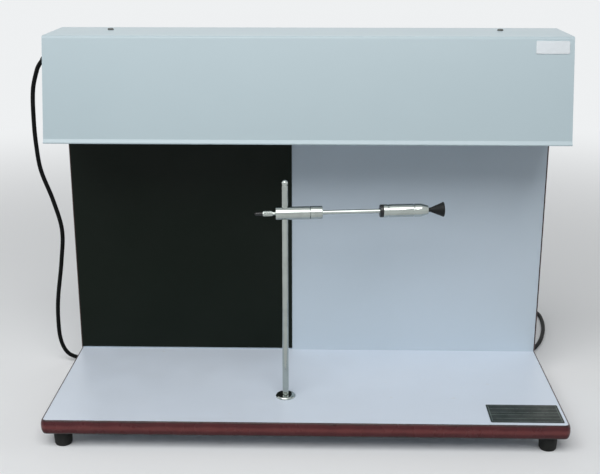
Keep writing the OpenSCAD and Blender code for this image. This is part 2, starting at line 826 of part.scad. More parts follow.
module starter_sockets() {
  ear = 5;
  color(lamp_white) placed() at_starters() difference() {
    union() {
      cylinder(h = socket_h, d = starter_d + 5);
      translate([-6, -starter_d / 2 - ear, 0]) cube([12, starter_d + 2 * ear, 3]);
    }
    translate([0, 0, 4]) cylinder(h = socket_h, d = starter_d + 2 * seat);
  }
}

module starters() {
  color(white_board) placed() at_starters() translate([0, 0, 4 + seat]) rotate_extrude() polygon([
    [0, 0], [starter_d / 2, 0], [starter_d / 2, starter_h - 3],
    [starter_d / 2 - 1, starter_h - 1], [starter_d / 2 - 3, starter_h], [0, starter_h]
  ]);
}

module terminal_block() {
  pole = 11;
  base_w = 20;
  color(lamp_white) placed() translate([block_margin - tray_half, choke_y - base_w / 2, tray_top + seat]) {
    cube([3 * pole, base_w, 5]);
    for (i = [0 : 2]) translate([i * pole + 1, 4, 4]) difference() {
      cube([pole - 2, 12, 12]);
      translate([(pole - 2) / 2, 3, 4]) cylinder(h = 12, d = 4);
      translate([(pole - 2) / 2, 9, 4]) cylinder(h = 12, d = 4);
    }
  }
}

// A lamp's glass tube, its axis along X
module lamp_glass(y) {
  color(lamp_white) placed() translate([0, y, lamp_z]) difference() {
    bar_x(-lamp_l / 2 + 2, lamp_l / 2 - 2, lamp_d / 2 - 0.4);
    bar_x(-lamp_l / 2, lamp_l / 2, lamp_d / 2 - 1.2);
  }
}

// A lamp's two metal caps with their pins, which lie side by side in the locked position
module lamp_caps(y) {
  cap_l = 11;
  r = lamp_d / 2;
  color(plated) placed() for (m = [0, 1]) mirror([m, 0, 0]) translate([lamp_l / 2, y, lamp_z]) {
    turned_x([
      [0, -1.8], [r - 0.4 + seat, -1.8], [r - 0.4 + seat, -cap_l], [r, -cap_l], [r, -1],
      [r - 1, 0], [0, 0]
    ]);
    for (s = [-1, 1]) translate([0, s * pin_pitch_r, 0]) rod_x(-0.5, pin_l, pin_d / 2, 0.5);
  }
}

module front_lamp() {
  lamp_glass(front_lamp_y);
}

module front_lamp_caps() {
  lamp_caps(front_lamp_y);
}

module rear_lamp() {
  lamp_glass(rear_lamp_y);
}

module rear_lamp_caps() {
  lamp_caps(rear_lamp_y);
}

case_depth = 16;
pivot_pin_d = 2.2;
module switch_case() {
  cavity = 7;
  color(soft_black) placed() translate([0, switch_y, switch_z]) difference() {
    union() {
      translate([hood_half + seat, -bezel_w / 2, -bezel_h / 2]) cube([bezel_t - 0.5, bezel_w, bezel_h]);
      translate([hood_half + seat, -bezel_w / 2 + 0.5, -bezel_h / 2 + 0.5])
        cube([bezel_t, bezel_w - 1, bezel_h - 1]);
      translate([hood_half - case_depth, -case_w / 2, -case_h / 2])
        cube([case_depth + bezel_t, case_w, case_h]);
      for (z = [-6, 0, 6]) translate([hood_half - case_depth - 8, -2.4, z - 0.4]) cube([9, 4.8, 0.8]);
    }
    translate([pivot_x - cavity, -case_w / 2 + case_wall, -case_h / 2 + case_wall])
      cube([cavity + 5, case_w - 2 * case_wall, case_h - 2 * case_wall]);
    translate([pivot_x, 0, 0]) rotate([90, 0, 0])
      cylinder(h = rocker_w + 2 * free_gap + 1.4, d = pivot_pin_d + 2 * run_gap, center = true);
  }
}

module switch_rocker() {
  color(soft_black) placed() translate([pivot_x, switch_y, switch_z]) rotate([0, -rocker_tilt, 0])
    rotate([90, 0, 0]) {
      translate([0, 0, -rocker_w / 2]) linear_extrude(rocker_w) intersection() {
        circle(r = rocker_r);
        polygon([[3, -9], [1.7, 0], [3, 9], [-3.6, 9], [-3.6, -9]] * rocker_r / 8.4);
      }
      translate([0, 0, -rocker_w / 2 - 0.8]) cylinder(h = rocker_w + 1.6, d = pivot_pin_d);
    }
}

module post() {
  r = post_d / 2;
  tip = base_top + post_h;
  dome = 2.4;
  dome_r = (r * r + dome * dome) / (2 * dome);
  groove_z = tip - 7;
  color(chromed) placed() translate([post_x, post_back, 0]) rotate_extrude() {
    difference() {
      union() {
        translate([0, clip_z - 2.4]) square([journal_d / 2, shoulder_z - clip_z + 2.4]);
        translate([0, shoulder_z]) square([r, tip - dome - shoulder_z]);
        intersection() {
          translate([0, tip - dome_r]) circle(r = dome_r);
          translate([0, tip - dome]) square([r, dome]);
        }
      }
      translate([r - 0.5, groove_z]) square([1, 1.2]);
      translate([journal_d / 2 - 0.6, clip_z - seat]) square([1, clip_t + 2 * seat]);
    }
  }
}

module post_clip() {
  outer_d = journal_d + 4.5;
  mouth = 2.4;
  color(plated) placed() translate([post_x, post_back, clip_z]) difference() {
    cylinder(h = clip_t, d = outer_d);
    translate([0, 0, -1]) cylinder(h = clip_t + 2, d = journal_d - 1.2 + 2 * seat);
    translate([0, -mouth / 2, -1]) cube([outer_d, mouth, clip_t + 2]);
  }
}

// The cross boss: one turned bar, cross-drilled for the post, with a slotted collet at its right
module cross_boss() {
  spigot_end = nut_end - 3;
  c = chamfer;
  color(chromed) on_arm() difference() {
    turned_x([
      [0, -boss_left], [barrel_r - c, -boss_left], [barrel_r, c - boss_left],
      [barrel_r, boss_right - c], [barrel_r - c, boss_right], [collet_d / 2, boss_right],
      [collet_d / 2, spigot_end - 1], [collet_d / 2 - 1, spigot_end], [0, spigot_end]
    ]);
    translate([0, 0, -barrel_d]) cylinder(h = 2 * barrel_d, d = post_d + 2 * run_gap);
    bar_x(-boss_left - 1, 0, lock_d / 2 + run_gap);
    bar_x(rod_inner - 8.5, nut_end, rod_d / 2 + run_gap);
    for (a = [0, 90]) rotate([a, 0, 0]) translate([boss_right + 2, -0.5, -barrel_d])
      cube([nut_l, 1, 2 * barrel_d]);
  }
}

// The lock screw: a fine thread with a neck and a straight-knurled head
module lock_screw() {
  tip = -post_d / 2 - free_gap;
  head_from = -boss_left - neck_l;
  head_to = head_from - knurl_l;
  r = knurl_d / 2;
  flutes = 18;
  color(chromed) on_arm() difference() {
    turned_x([
      [0, tip], [lock_d / 2 - 0.7, tip], [lock_d / 2, tip - 0.7], [lock_d / 2, -boss_left - 0.5],
      [lock_d / 2 - 0.4, -boss_left - 0.9], [lock_d / 2 - 0.4, head_from], [r - 0.5, head_from],
      [r, head_from - 0.5], [r, head_to + 0.5], [r - 0.5, head_to], [1.6, head_to],
      [1.6, head_to - grip_l + 3], [0, head_to - grip_l + 3]
    ]);
    for (i = [0 : flutes - 1]) rotate([i * 360 / flutes, 0, 0]) translate([0, 0, r + 0.12])
      bar_x(head_to + 1, head_from - 1, 0.34, $fn = 16);
  }
}

module lock_grip() {
  from = -boss_left - neck_l - knurl_l - seat;
  r = grip_d / 2;
  color(soft_black) on_arm() turned_x([
    [1.6 + seat, from], [r - 0.3, from], [r, from - 0.4], [r - 0.2, 1.5 + from - grip_l],
    [r - 1, from - grip_l], [0, from - grip_l], [0, 2.8 - seat + from - grip_l],
    [1.6 + seat, 2.8 - seat + from - grip_l]
  ]);
}

module collet_nut() {
  c = chamfer;
  bore = collet_d / 2 + run_gap;
  rod_hole = rod_d / 2 + run_gap;
  color(chromed) on_arm() turned_x([
    [bore, nut_start], [barrel_r - c, nut_start], [barrel_r, nut_start + c],
    [barrel_r, nut_end - c], [barrel_r - c, nut_end], [rod_hole, nut_end],
    [rod_hole, nut_end - 3 + free_gap + 0.2], [bore - 1, nut_end - 3 + free_gap + 0.2],
    [bore, nut_end - 4 + free_gap + 0.2]
  ]);
}

module arm_rod() {
  r = rod_d / 2;
  color(chromed) on_arm() turned_x([
    [0, rod_inner], [r - 0.6, rod_inner], [r, rod_inner + 0.6],
    [r, ring_at - 0.1], [r - 0.5, ring_at - 0.1], [r - 0.5, ring_at + 1.3], [r, ring_at + 1.3],
    [r, rod_end - 0.5], [r - 0.5, rod_end], [0, rod_end]
  ]);
}

module chuck_collar() {
  to = collar_start + collar_l;
  color(soft_black) on_arm() turned_x([
    [rod_d / 2 + seat, collar_start], [barrel_r - 1, collar_start], [barrel_r, collar_start + 1],
    [barrel_r, to], [rod_d / 2 + seat, to]
  ]);
}

module chuck_ring() {
  color(plated) on_arm() turned_x([
    [rod_d / 2 - 0.5 + seat, ring_at], [rod_d / 2 + 1, ring_at],
    [rod_d / 2 + 1, ring_at + 1.2], [rod_d / 2 - 0.5 + seat, ring_at + 1.2]
  ]);
}

// The chuck sleeve turns on the rod behind a snap ring and takes the cup's stem at its front
module chuck_sleeve() {
  bore = rod_d / 2 + run_gap;
  stem = cup_stem_d / 2 + seat;
  shoulder = ring_at - free_gap;
  grooves = [chuck_start + 5.6, chuck_start + chuck_l * 0.67];
  c = 0.5;
  color(chromed) on_arm() difference() {
    turned_x([
      [bore, chuck_start], [barrel_r - c, chuck_start], [barrel_r, chuck_start + c],
      [barrel_r, chuck_end - chuck_taper], [chuck_nose_d / 2, chuck_end],
      [stem, chuck_end], [stem, shoulder], [bore, shoulder]
    ]);
    for (g = grooves) turned_x([
      [barrel_r - groove_t, g + 0.5], [barrel_r + 1, g - 0.4],
      [barrel_r + 1, g + groove_w + 0.4], [barrel_r - groove_t, g + groove_w - 0.5]
    ]);
  }
}

module rubber_cup() {
  r = cup_d / 2;
  stem = cup_stem_d / 2;
  neck = cup_neck_d / 2;
  wall = 1.6;
  throat = 2;
  neck_to = chuck_end + cup_l * 0.18;
  color(soft_black) on_arm() turned_x([
    [0, chuck_end - cup_stem_l], [stem - 0.5, chuck_end - cup_stem_l],
    [stem, chuck_end - cup_stem_l + 0.5], [stem, chuck_end - 0.6], [neck, chuck_end + 0.4],
    [neck, neck_to], [r - 0.5, cup_end - 1.6], [r, cup_end - 1], [r, cup_end - 0.3],
    [r - 0.3, cup_end], [r - wall, cup_end], [throat, cup_end - cup_l * 0.62],
    [throat, cup_end - cup_l * 0.75], [0, cup_end - cup_l * 0.75]
  ]);
}

// Smooth curve through hand-set points, and a tube swept along it
function unit(v) = v / norm(v);
function span(p, i) = norm(p[i + 1] - p[i]);
function slope(p, i) =
  i == 0 ? unit(p[1] - p[0]) :
  i == len(p) - 1 ? unit(p[i] - p[i - 1]) :
  (p[i + 1] - p[i - 1]) / (span(p, i) + span(p, i - 1));
function between(p, i, t) =
  let (h = span(p, i))
  (2 * pow(t, 3) - 3 * t * t + 1) * p[i] + (pow(t, 3) - 2 * t * t + t) * h * slope(p, i)
  + (3 * t * t - 2 * pow(t, 3)) * p[i + 1] + (pow(t, 3) - t * t) * h * slope(p, i + 1);
function smooth_path(p, step) = concat(
  [for (i = [0 : len(p) - 2]) let (n = max(1, round(span(p, i) / step)))
    for (j = [0 : n - 1]) between(p, i, j / n)],
  [p[len(p) - 1]]
);
function length_of(p, i = 0, sum = 0) = i == len(p) - 1 ? sum : length_of(p, i + 1, sum + span(p, i));
function heading(p, i) =
  unit(p[min(i + 1, len(p) - 1)] - p[max(i - 1, 0)]);
// Each ring's side vector is carried on from the last one, so that the tube doesn't twist
function carried(p, i, s) = let (h = heading(p, i)) unit(s - (s * h) * h);
function side_vectors(p, i, s) =
  let (v = carried(p, i, s)) i == len(p) - 1 ? [v] : concat([v], side_vectors(p, i + 1, v));

module swept_tube(path, radii, sides, first_side = [0, 1, 0]) {
  n = len(path);
  s = side_vectors(path, 0, first_side);
  points = [
    for (i = [0 : n - 1]) let (h = heading(path, i), u = s[i], w = cross(h, u))
      for (k = [0 : sides - 1]) let (a = 360 * k / sides + 180 / sides)
        path[i] + radii[i] * (cos(a) * u + sin(a) * w)
  ];
  walls = [
    for (i = [0 : n - 2], k = [0 : sides - 1])
      let (a = i * sides + k, b = i * sides + (k + 1) % sides)
        each [[a, b + sides, b], [a, a + sides, b + sides]]
  ];
  polyhedron(
    points,
    concat(
      walls,
      [[for (k = [0 : sides - 1]) k]],
      [[for (k = [sides - 1 : -1 : 0]) (n - 1) * sides + k]]
    )
  );
}

// The cable gland: a round flange outside the end plate, a barrel through it and a bent boot
gland_barrel_d = 12;
module cable_gland() {
  steps = 10;
  arc = [
    for (i = [0 : steps]) let (a = boot_turn * i / steps)
      [boot_start - boot_bend * sin(a), gland_y, gland_z - boot_bend * (1 - cos(a))]
  ];
  tip_r = cord_r + 0.8;
  radii = [for (i = [0 : steps]) 6 - (6 - tip_r) * i / steps];
  color(soft_black) placed() {
    translate([0, gland_y, gland_z]) {
      rod_x(boot_start - 0.2, boot_start + gland_flange, 8.5, 0.8);
      bar_x(boot_start + 1, -hood_half + hood_t + 8, gland_barrel_d / 2);
    }
    swept_tube(concat([arc[0] + [1, 0, 0]], arc, [boot_tip]), concat([6], radii, [tip_r]), 16);
  }
}

module gland_nut() {
  from = -hood_half + hood_t + seat;
  color(soft_black) placed() translate([0, gland_y, gland_z]) difference() {
    translate([from, 0, 0]) rotate([0, 90, 0]) cylinder(h = 5, d = gland_barrel_d + 7, $fn = 6);
    bar_x(from - 1, from + 7, gland_barrel_d / 2 + seat);
  }
}

free_path = [
  for (p = smooth_path(free_route, 19)) [p[0], p[1], max(p[2], rest_z)]
];
tail_path = smooth_path(tail_route, 14);

module power_cord() {
  color(soft_black) placed() swept_tube(free_path, [for (p = free_path) cord_r], 8);
}

module cord_tail() {
  color(soft_black) placed() swept_tube(tail_path, [for (p = tail_path) cord_r], 8, [0, 1, 0]);
}

// The coil spirals in on the table and out again on top of itself, and climbs where it turns back
function climb(u) = let (t = max(0, min(1, (u - coil_turns / 2 + 0.25) * 2))) t * t * (3 - 2 * t);
function coil_point(u) =
  let (r = coil_inner_r + coil_step * abs(u - coil_turns / 2), a = 90 + 360 * u)
  [coil_x + r * cos(a), coil_y + r * sin(a), coil_lift + coil_step * climb(u)];
coil_bends = [for (i = [0 : coil_rings * coil_turns]) coil_point(i / coil_rings)];
coil_path = concat(
  [[coil_x + cord_d, coil_edge_y, coil_lift]],
  coil_bends,
  [[tail_x, coil_edge_y, plug_z]]
);
coil_half = coil_rings / 2;
coil_self_gap = min([
  for (i = [0 : len(coil_path) - 1 - coil_half])
    for (j = [i + coil_half : len(coil_path) - 1]) norm(coil_path[j] - coil_path[i])
]) - cord_d;
echo(coil_self_gap = coil_self_gap);
echo(free_length = length_of(free_path), coil_length = length_of(coil_path));
echo(tail_length = length_of(tail_path), rings = len(free_path));

module cord_coil() {
  color(soft_black) placed() swept_tube(coil_path, [for (p = coil_path) cord_r], 6);
}

// The tie goes round both layers of the coil at its front
module cord_tie() {
  y = coil_y - coil_inner_r - coil_step / 2;
  inner = cord_r + tie_gap;
  color(soft_black) placed() along_x(coil_x - tie_w / 2, coil_x + tie_w / 2) difference() {
    translate([y, coil_lift]) {
      for (z = [0, coil_step]) translate([0, z]) circle(r = inner + tie_t);
      translate([-inner - tie_t, 0]) square([2 * (inner + tie_t), coil_step]);
    }
    translate([y, coil_lift]) {
      for (z = [0, coil_step]) translate([0, z]) circle(r = inner);
      translate([-inner, 0]) square([2 * inner, coil_step]);
    }
  }
}

// The plug lies on the table behind the coil, with its axis along X and its blades to the left
plug_at = [tail_x - tail_l, coil_edge_y, plug_z];
module mains_plug() {
  half_t = plug_z - seat;
  color(soft_black) placed() translate(plug_at) mirror([1, 0, 0]) {
    rotate([0, 90, 0]) cylinder(h = plug_relief + 1, r1 = 4.2, r2 = 6.8);
    hull() {
      translate([plug_relief, 0, 0]) rotate([0, 90, 0]) cylinder(h = 2, r = 8, $fn = 32);
      for (y = [-1, 1], z = [-1, 1])
        translate([plug_relief + plug_body - 10, y * (17 - 5), z * (half_t - 5)])
          rotate([0, 90, 0]) cylinder(h = 10, r = 5, $fn = 32);
    }
  }
}

blade_l = 17;
blade_t = 1.6;
blade_w = 6.4;
earth_extra = 3;
module plug_blade(length) {
  translate([plug_relief + plug_body + seat, -blade_t / 2, -blade_w / 2]) cube([length, blade_t, blade_w]);
}

module plug_blades() {
  color(brass_yellow) placed() translate(plug_at) mirror([1, 0, 0]) {
    translate([0, 0, 5]) plug_blade(blade_l + earth_extra);
    for (s = [-1, 1]) translate([0, s * 7.9, -3]) rotate([s * -30, 0, 0]) plug_blade(blade_l);
  }
}

base_board();
base_edging();
rubber_feet();
foot_screws();
rating_plate();
post_bush();
bush_washer();
bush_nut();
upright_board();
upright_edging();
black_sheet();
board_screws();
hood_shell();
hood_end_left();
hood_end_right();
hood_badge();
hood_top_screws();
hood_rear_screws();
gear_tray();
tray_brackets();
gear_screws();
lampholders();
chokes();
starter_sockets();
starters();
terminal_block();
front_lamp();
front_lamp_caps();
rear_lamp();
rear_lamp_caps();
switch_case();
switch_rocker();
post();
post_clip();
cross_boss();
lock_screw();
lock_grip();
collet_nut();
arm_rod();
chuck_collar();
chuck_ring();
chuck_sleeve();
rubber_cup();
cable_gland();
gland_nut();
power_cord();
cord_coil();
cord_tail();
cord_tie();
mains_plug();
plug_blades();
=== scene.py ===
"""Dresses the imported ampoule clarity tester: finishes, fine forms, mains lead, light and camera.

Lengths are millimetres in the body frame, unless a docstring says otherwise: X to the right, Y to
the back from the front of the base board, Z up from the table. Shape.build turns them into metres
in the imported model's frame.
"""

from __future__ import annotations
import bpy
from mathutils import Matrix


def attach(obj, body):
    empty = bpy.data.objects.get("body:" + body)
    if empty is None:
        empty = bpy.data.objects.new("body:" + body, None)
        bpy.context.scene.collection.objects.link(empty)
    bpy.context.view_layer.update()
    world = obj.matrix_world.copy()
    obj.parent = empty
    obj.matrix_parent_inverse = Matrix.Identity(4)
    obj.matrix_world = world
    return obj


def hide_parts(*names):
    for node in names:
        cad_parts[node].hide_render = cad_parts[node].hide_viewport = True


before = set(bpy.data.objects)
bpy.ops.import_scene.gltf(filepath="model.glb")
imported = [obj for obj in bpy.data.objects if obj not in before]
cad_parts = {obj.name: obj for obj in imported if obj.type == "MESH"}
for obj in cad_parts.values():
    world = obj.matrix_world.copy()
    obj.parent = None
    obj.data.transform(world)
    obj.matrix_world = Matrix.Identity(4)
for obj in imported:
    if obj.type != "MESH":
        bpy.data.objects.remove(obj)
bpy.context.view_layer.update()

import logging
import math
from dataclasses import dataclass, field
from enum import Enum
from functools import cache
from typing import Protocol, Sequence

import bmesh
import bpy
from mathutils import Matrix, Vector

log = logging.getLogger("tester")

Point = Sequence[float]
Places = Sequence[tuple[Point, Point]]
Colour = tuple[float, float, float]
Range = tuple[float, float]
Socket = bpy.types.NodeSocket
Value = Socket | float | str | Point
Piece = bpy.types.Object

FRAME_Y = 125.95
METRE = 0.001
SEAT = 0.1
MERGED = 1e-7
SHARP = 32.0
FULL_TURN = 2 * math.pi
PLASTIC_IOR = 1.5
RIGHT, BACK, UP = (1, 0, 0), (0, 1, 0), (0, 0, 1)


class Axis(Enum):
    """The axis about which a turned shape stands."""

    ALONG_X = "x"
    UPRIGHT = "z"


class Grain(Enum):
    """How a metal bar or sheet was worked."""

    TURNED = "rings across X"
    DRAWN = "lines along X"


class Body(Enum):
    """The moving bodies of the object."""

    CABINET = "cabinet"
    STANDARD = "standard"
    BOSS = "boss"
    LOCK = "boss_lock"
    NUT = "nut"
    ARM = "arm"
    CHUCK = "chuck"
    ROCKER = "rocker"


class Slot(Enum):
    """Names for the materials of new pieces; adopt takes them but does not use them."""

    MAROON = "maroon_edging"
    RUBBER = "foot_rubber"
    ZINC = "zinc_screws"
    PLATE = "black_plate"
    BADGE = "badge_metal"
    STEEL = "white_steel"
    CHROME = "chromed"
    GRIP = "grip_plastic"
    CUP = "cup_rubber"
    SWITCH = "switch_plastic"
    CABLE = "cable_black"


# Plain geometry


def to_row(point: Point) -> Vector:
    """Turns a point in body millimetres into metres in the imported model's frame."""
    return Vector((point[0], point[1] - FRAME_Y, point[2])) * METRE


@dataclass(frozen=True)
class Stand:
    """Where a piece's own frame stands: a place, and turns about X, Y and Z in degrees."""

    at: tuple[float, float, float] = (0.0, 0.0, 0.0)
    turn: tuple[float, float, float] = (0.0, 0.0, 0.0)

    def matrix(self) -> Matrix:
        """The frame as a matrix in body millimetres."""
        x, y, z = (Matrix.Rotation(math.radians(a), 4, n) for a, n in zip(self.turn, "XYZ"))
        return Matrix.Translation(Vector(self.at)) @ z @ y @ x

    def in_row(self) -> Matrix:
        """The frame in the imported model's frame.

        Returns:
            The matrix in metres.
        """
        result = self.matrix()
        result.translation = to_row(self.at)
        return result


HOME = Stand()
POST_FOOT = (-26.0, 76.5, 0.0)
POST = Stand(POST_FOOT, (0.0, -90.0, 0.0))
ARM = Stand((POST_FOOT[0], POST_FOOT[1], 291.0), (0.0, 0.0, 6.5))


def arc(centre: Point, radius: float, start: float, stop: float, steps: int) -> list[Vector]:
    """Points on a circular arc in a plane.

    Args:
        centre: The arc's centre, two numbers.
        radius: The arc's radius.
        start: First angle in degrees.
        stop: Last angle in degrees.
        steps: Number of chords.

    Returns:
        The arc's points, both ends included.
    """
    return [
        Vector((centre[0] + radius * math.cos(a), centre[1] + radius * math.sin(a)))
        for a in (math.radians(start + (stop - start) * i / steps) for i in range(steps + 1))
    ]


def rounded(outline: Sequence[Point], steps: int, radius: float = 0.0) -> list[Vector]:
    """Rounds the corners of a closed plane outline.

    Args:
        outline: Corner points, two numbers each, with an optional own radius as a third.
        steps: Chords in each rounded corner.
        radius: Radius where a corner has none of its own.

    Returns:
        The outline's points with each corner turned into an arc.
    """
    result: list[Vector] = []
    for i, corner in enumerate(outline):
        here = Vector(corner[:2])
        wanted = corner[2] if len(corner) > 2 else radius
        before = Vector(outline[i - 1][:2]) - here
        after = Vector(outline[(i + 1) % len(outline)][:2]) - here
        turn = math.pi - before.angle(after) if before.length and after.length else 0.0
        if wanted <= 0 or turn < 0.02:
            result.append(here)
            continue
        cut = min(wanted * math.tan(turn / 2), 0.49 * before.length, 0.49 * after.length)
        first, last = here + before.normalized() * cut, here + after.normalized() * cut
        for k in range(steps + 1):
            t = k / steps
            result.append((1 - t) ** 2 * first + 2 * t * (1 - t) * here + t * t * last)
    return result


def rectangle(width: float, height: float, radius: float) -> list[Vector]:
    """A rounded rectangle about the origin."""
    x, y = width / 2, height / 2
    return rounded([(-x, -y), (x, -y), (x, y), (-x, y)], 5, radius)


def oval(half_w: float, half_h: float, power: float, count: int) -> list[Vector]:
    """Draws a superellipse about the origin.

    Args:
        half_w: Half its width.
        half_h: Half its height.
        power: 2 for an ellipse, and more to square it up.
        count: Number of points.

    Returns:
        The closed outline.
    """
    result = []
    for k in range(count):
        c, s = math.cos(FULL_TURN * k / count), math.sin(FULL_TURN * k / count)
        x = math.copysign(abs(c) ** (2 / power), c) * half_w
        result.append(Vector((x, math.copysign(abs(s) ** (2 / power), s) * half_h)))
    return result


def linked(data: bpy.types.ID, name: str) -> Piece:
    """Makes an object of some data in the scene.

    Args:
        data: A mesh, curve, light or camera.
        name: The object's name.

    Returns:
        The new object.
    """
    piece = bpy.data.objects.new(name, data)
    bpy.context.scene.collection.objects.link(piece)
    return piece


def polyline(name: str, points: Sequence[Vector], closed: bool) -> Piece:
    """Makes a curve of straight lines.

    Args:
        name: The object's name.
        points: Its points in metres.
        closed: Whether the last point is joined with the first.

    Returns:
        The new object.
    """
    curve = bpy.data.curves.new(name, "CURVE")
    curve.dimensions = "3D"
    spline = curve.splines.new("POLY")
    spline.points.add(len(points) - 1)
    for target, point in zip(spline.points, points):
        target.co = (*point, 1)
    spline.use_cyclic_u = closed
    return linked(curve, name)


def smoothed(mesh: bpy.types.Mesh, angle: float) -> None:
    """Shades a mesh smooth, with edges sharper than that many degrees kept sharp."""
    mesh.shade_smooth()
    mesh.set_sharp_from_angle(angle=math.radians(angle))


@dataclass
class Shape:
    """A mesh under construction.

    Attributes:
        place: Where the shape's own frame stands.
        shifted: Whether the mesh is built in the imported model's frame; otherwise in its own.
        points: Vertex positions.
        faces: Vertex numbers of each face.
    """

    place: Matrix = field(default_factory=lambda: Matrix.Identity(4))
    shifted: bool = True
    points: list[Vector] = field(default_factory=list)
    faces: list[tuple[int, ...]] = field(default_factory=list)

    def skinned(self, rings: Sequence[Sequence[Vector]], closed: bool = True) -> Shape:
        """Joins closed rings of points with quads.

        Args:
            rings: The rings, of equal size.
            closed: Whether the last ring is joined with the first.

        Returns:
            The shape itself.
        """
        base, size = len(self.points), len(rings[0])
        for ring in rings:
            self.points += [self.place @ p for p in ring]
        for i in range(len(rings) if closed else len(rings) - 1):
            a, b = base + i * size, base + (i + 1) % len(rings) * size
            for k in range(size):
                n = (k + 1) % size
                self.faces.append((a + k, a + n, b + n, b + k))
        return self

    def turned(
        self, profile: Sequence[Point], axis: Axis = Axis.ALONG_X, segments: int = 80
    ) -> Shape:
        """Adds a body of revolution.

        Args:
            profile: Closed outline of [distance along the axis, radius] points.
            axis: The axis of revolution.
            segments: Number of segments round the axis.

        Returns:
            The shape itself.
        """
        rings = []
        for i in range(segments):
            c, s = math.cos(FULL_TURN * i / segments), math.sin(FULL_TURN * i / segments)
            if axis is Axis.ALONG_X:
                rings.append([Vector((p[0], p[1] * c, p[1] * s)) for p in profile])
            else:
                rings.append([Vector((p[1] * c, p[1] * s, p[0])) for p in profile])
        return self.skinned(rings)

    def lofted(self, sections: Sequence[Sequence[Vector]]) -> Shape:
        """Adds a skin through closed sections, with both ends capped.

        Args:
            sections: The sections, of equal size.

        Returns:
            The shape itself.
        """
        base, size = len(self.points), len(sections[0])
        self.skinned(sections, False)
        last = len(self.points) - size
        self.faces.append(tuple(range(base, base + size)))
        self.faces.append(tuple(reversed(range(last, last + size))))
        return self

    def extruded(
        self, outline: Sequence[Point], start: Point, step: Point,
        right: Point = RIGHT, up: Point = BACK,
    ) -> Shape:
        """Adds a prism.

        Args:
            outline: Closed plane outline.
            start: Where the outline's origin stands.
            step: From the outline's first place to its last.
            right: Direction of the outline's first coordinate.
            up: Direction of the outline's second coordinate.

        Returns:
            The shape itself.
        """
        origin, x, y = Vector(start), Vector(right), Vector(up)
        flat = [origin + x * p[0] + y * p[1] for p in outline]
        return self.lofted([flat, [p + Vector(step) for p in flat]])

    def block(self, low: Point, high: Point) -> Shape:
        """Adds a box between two corners.

        Args:
            low: The corner at the left, front and bottom.
            high: The corner at the right, back and top.

        Returns:
            The shape itself.
        """
        (left, front, foot), (right, back, top) = low, high
        outline = [(left, front), (right, front), (right, back), (left, back)]
        return self.extruded(outline, (0, 0, foot), (0, 0, top - foot))

    def build(self, name: str, finish: Finish | None = None, smooth: float = SHARP) -> Piece:
        """Makes a closed, outward-facing mesh object at the origin.

        Args:
            name: The object's name.
            finish: Its finish.
            smooth: Edges sharper than this many degrees stay sharp.

        Returns:
            The new object.
        """
        mesh = bpy.data.meshes.new(name)
        places = [to_row(p) if self.shifted else p * METRE for p in self.points]
        mesh.from_pydata(places, [], self.faces)
        skin = bmesh.new()
        skin.from_mesh(mesh)
        bmesh.ops.remove_doubles(skin, verts=skin.verts, dist=MERGED)
        bmesh.ops.delete(skin, geom=[e for e in skin.edges if not e.link_faces], context="EDGES")
        bmesh.ops.recalc_face_normals(skin, faces=skin.faces)
        skin.to_mesh(mesh)
        skin.free()
        smoothed(mesh, smooth)
        if finish is not None:
            mesh.materials.append(material(finish))
        return linked(mesh, name)


def settle(piece: Piece, name: str) -> Piece:
    """Turns an object and its modifiers into a plain mesh object.

    Args:
        piece: The object, which is removed.
        name: The new object's name.

    Returns:
        The new object, at the origin.
    """
    bpy.context.view_layer.update()
    evaluated = piece.evaluated_get(bpy.context.evaluated_depsgraph_get())
    mesh = bpy.data.meshes.new_from_object(evaluated)
    bpy.data.objects.remove(piece)
    mesh.name = name
    smoothed(mesh, SHARP)
    return linked(mesh, name)


def carved(piece: Piece, cutters: Sequence[Piece]) -> Piece:
    """Cuts tools out of a piece and removes them.

    Args:
        piece: The piece to cut.
        cutters: Closed meshes to take away.

    Returns:
        The cut piece as a plain mesh object with the same name.
    """
    name = piece.name
    piece.name = name + "_blank"
    for cutter in cutters:
        cut = piece.modifiers.new("cut", "BOOLEAN")
        cut.operation, cut.solver, cut.object = "DIFFERENCE", "EXACT", cutter
    result = settle(piece, name)
    for cutter in cutters:
        bpy.data.objects.remove(cutter)
    return result


def eased(piece: Piece, width: float) -> Piece:
    """Rounds a piece's sharp edges with a bevel.

    Args:
        piece: The piece.
        width: The bevel's width in millimetres.

    Returns:
        The piece.
    """
    bevel = piece.modifiers.new("eased", "BEVEL")
    bevel.width, bevel.segments = width * METRE, 2
    bevel.limit_method, bevel.angle_limit = "ANGLE", math.radians(40.0)
    bevel.harden_normals = True
    return piece


# Node trees


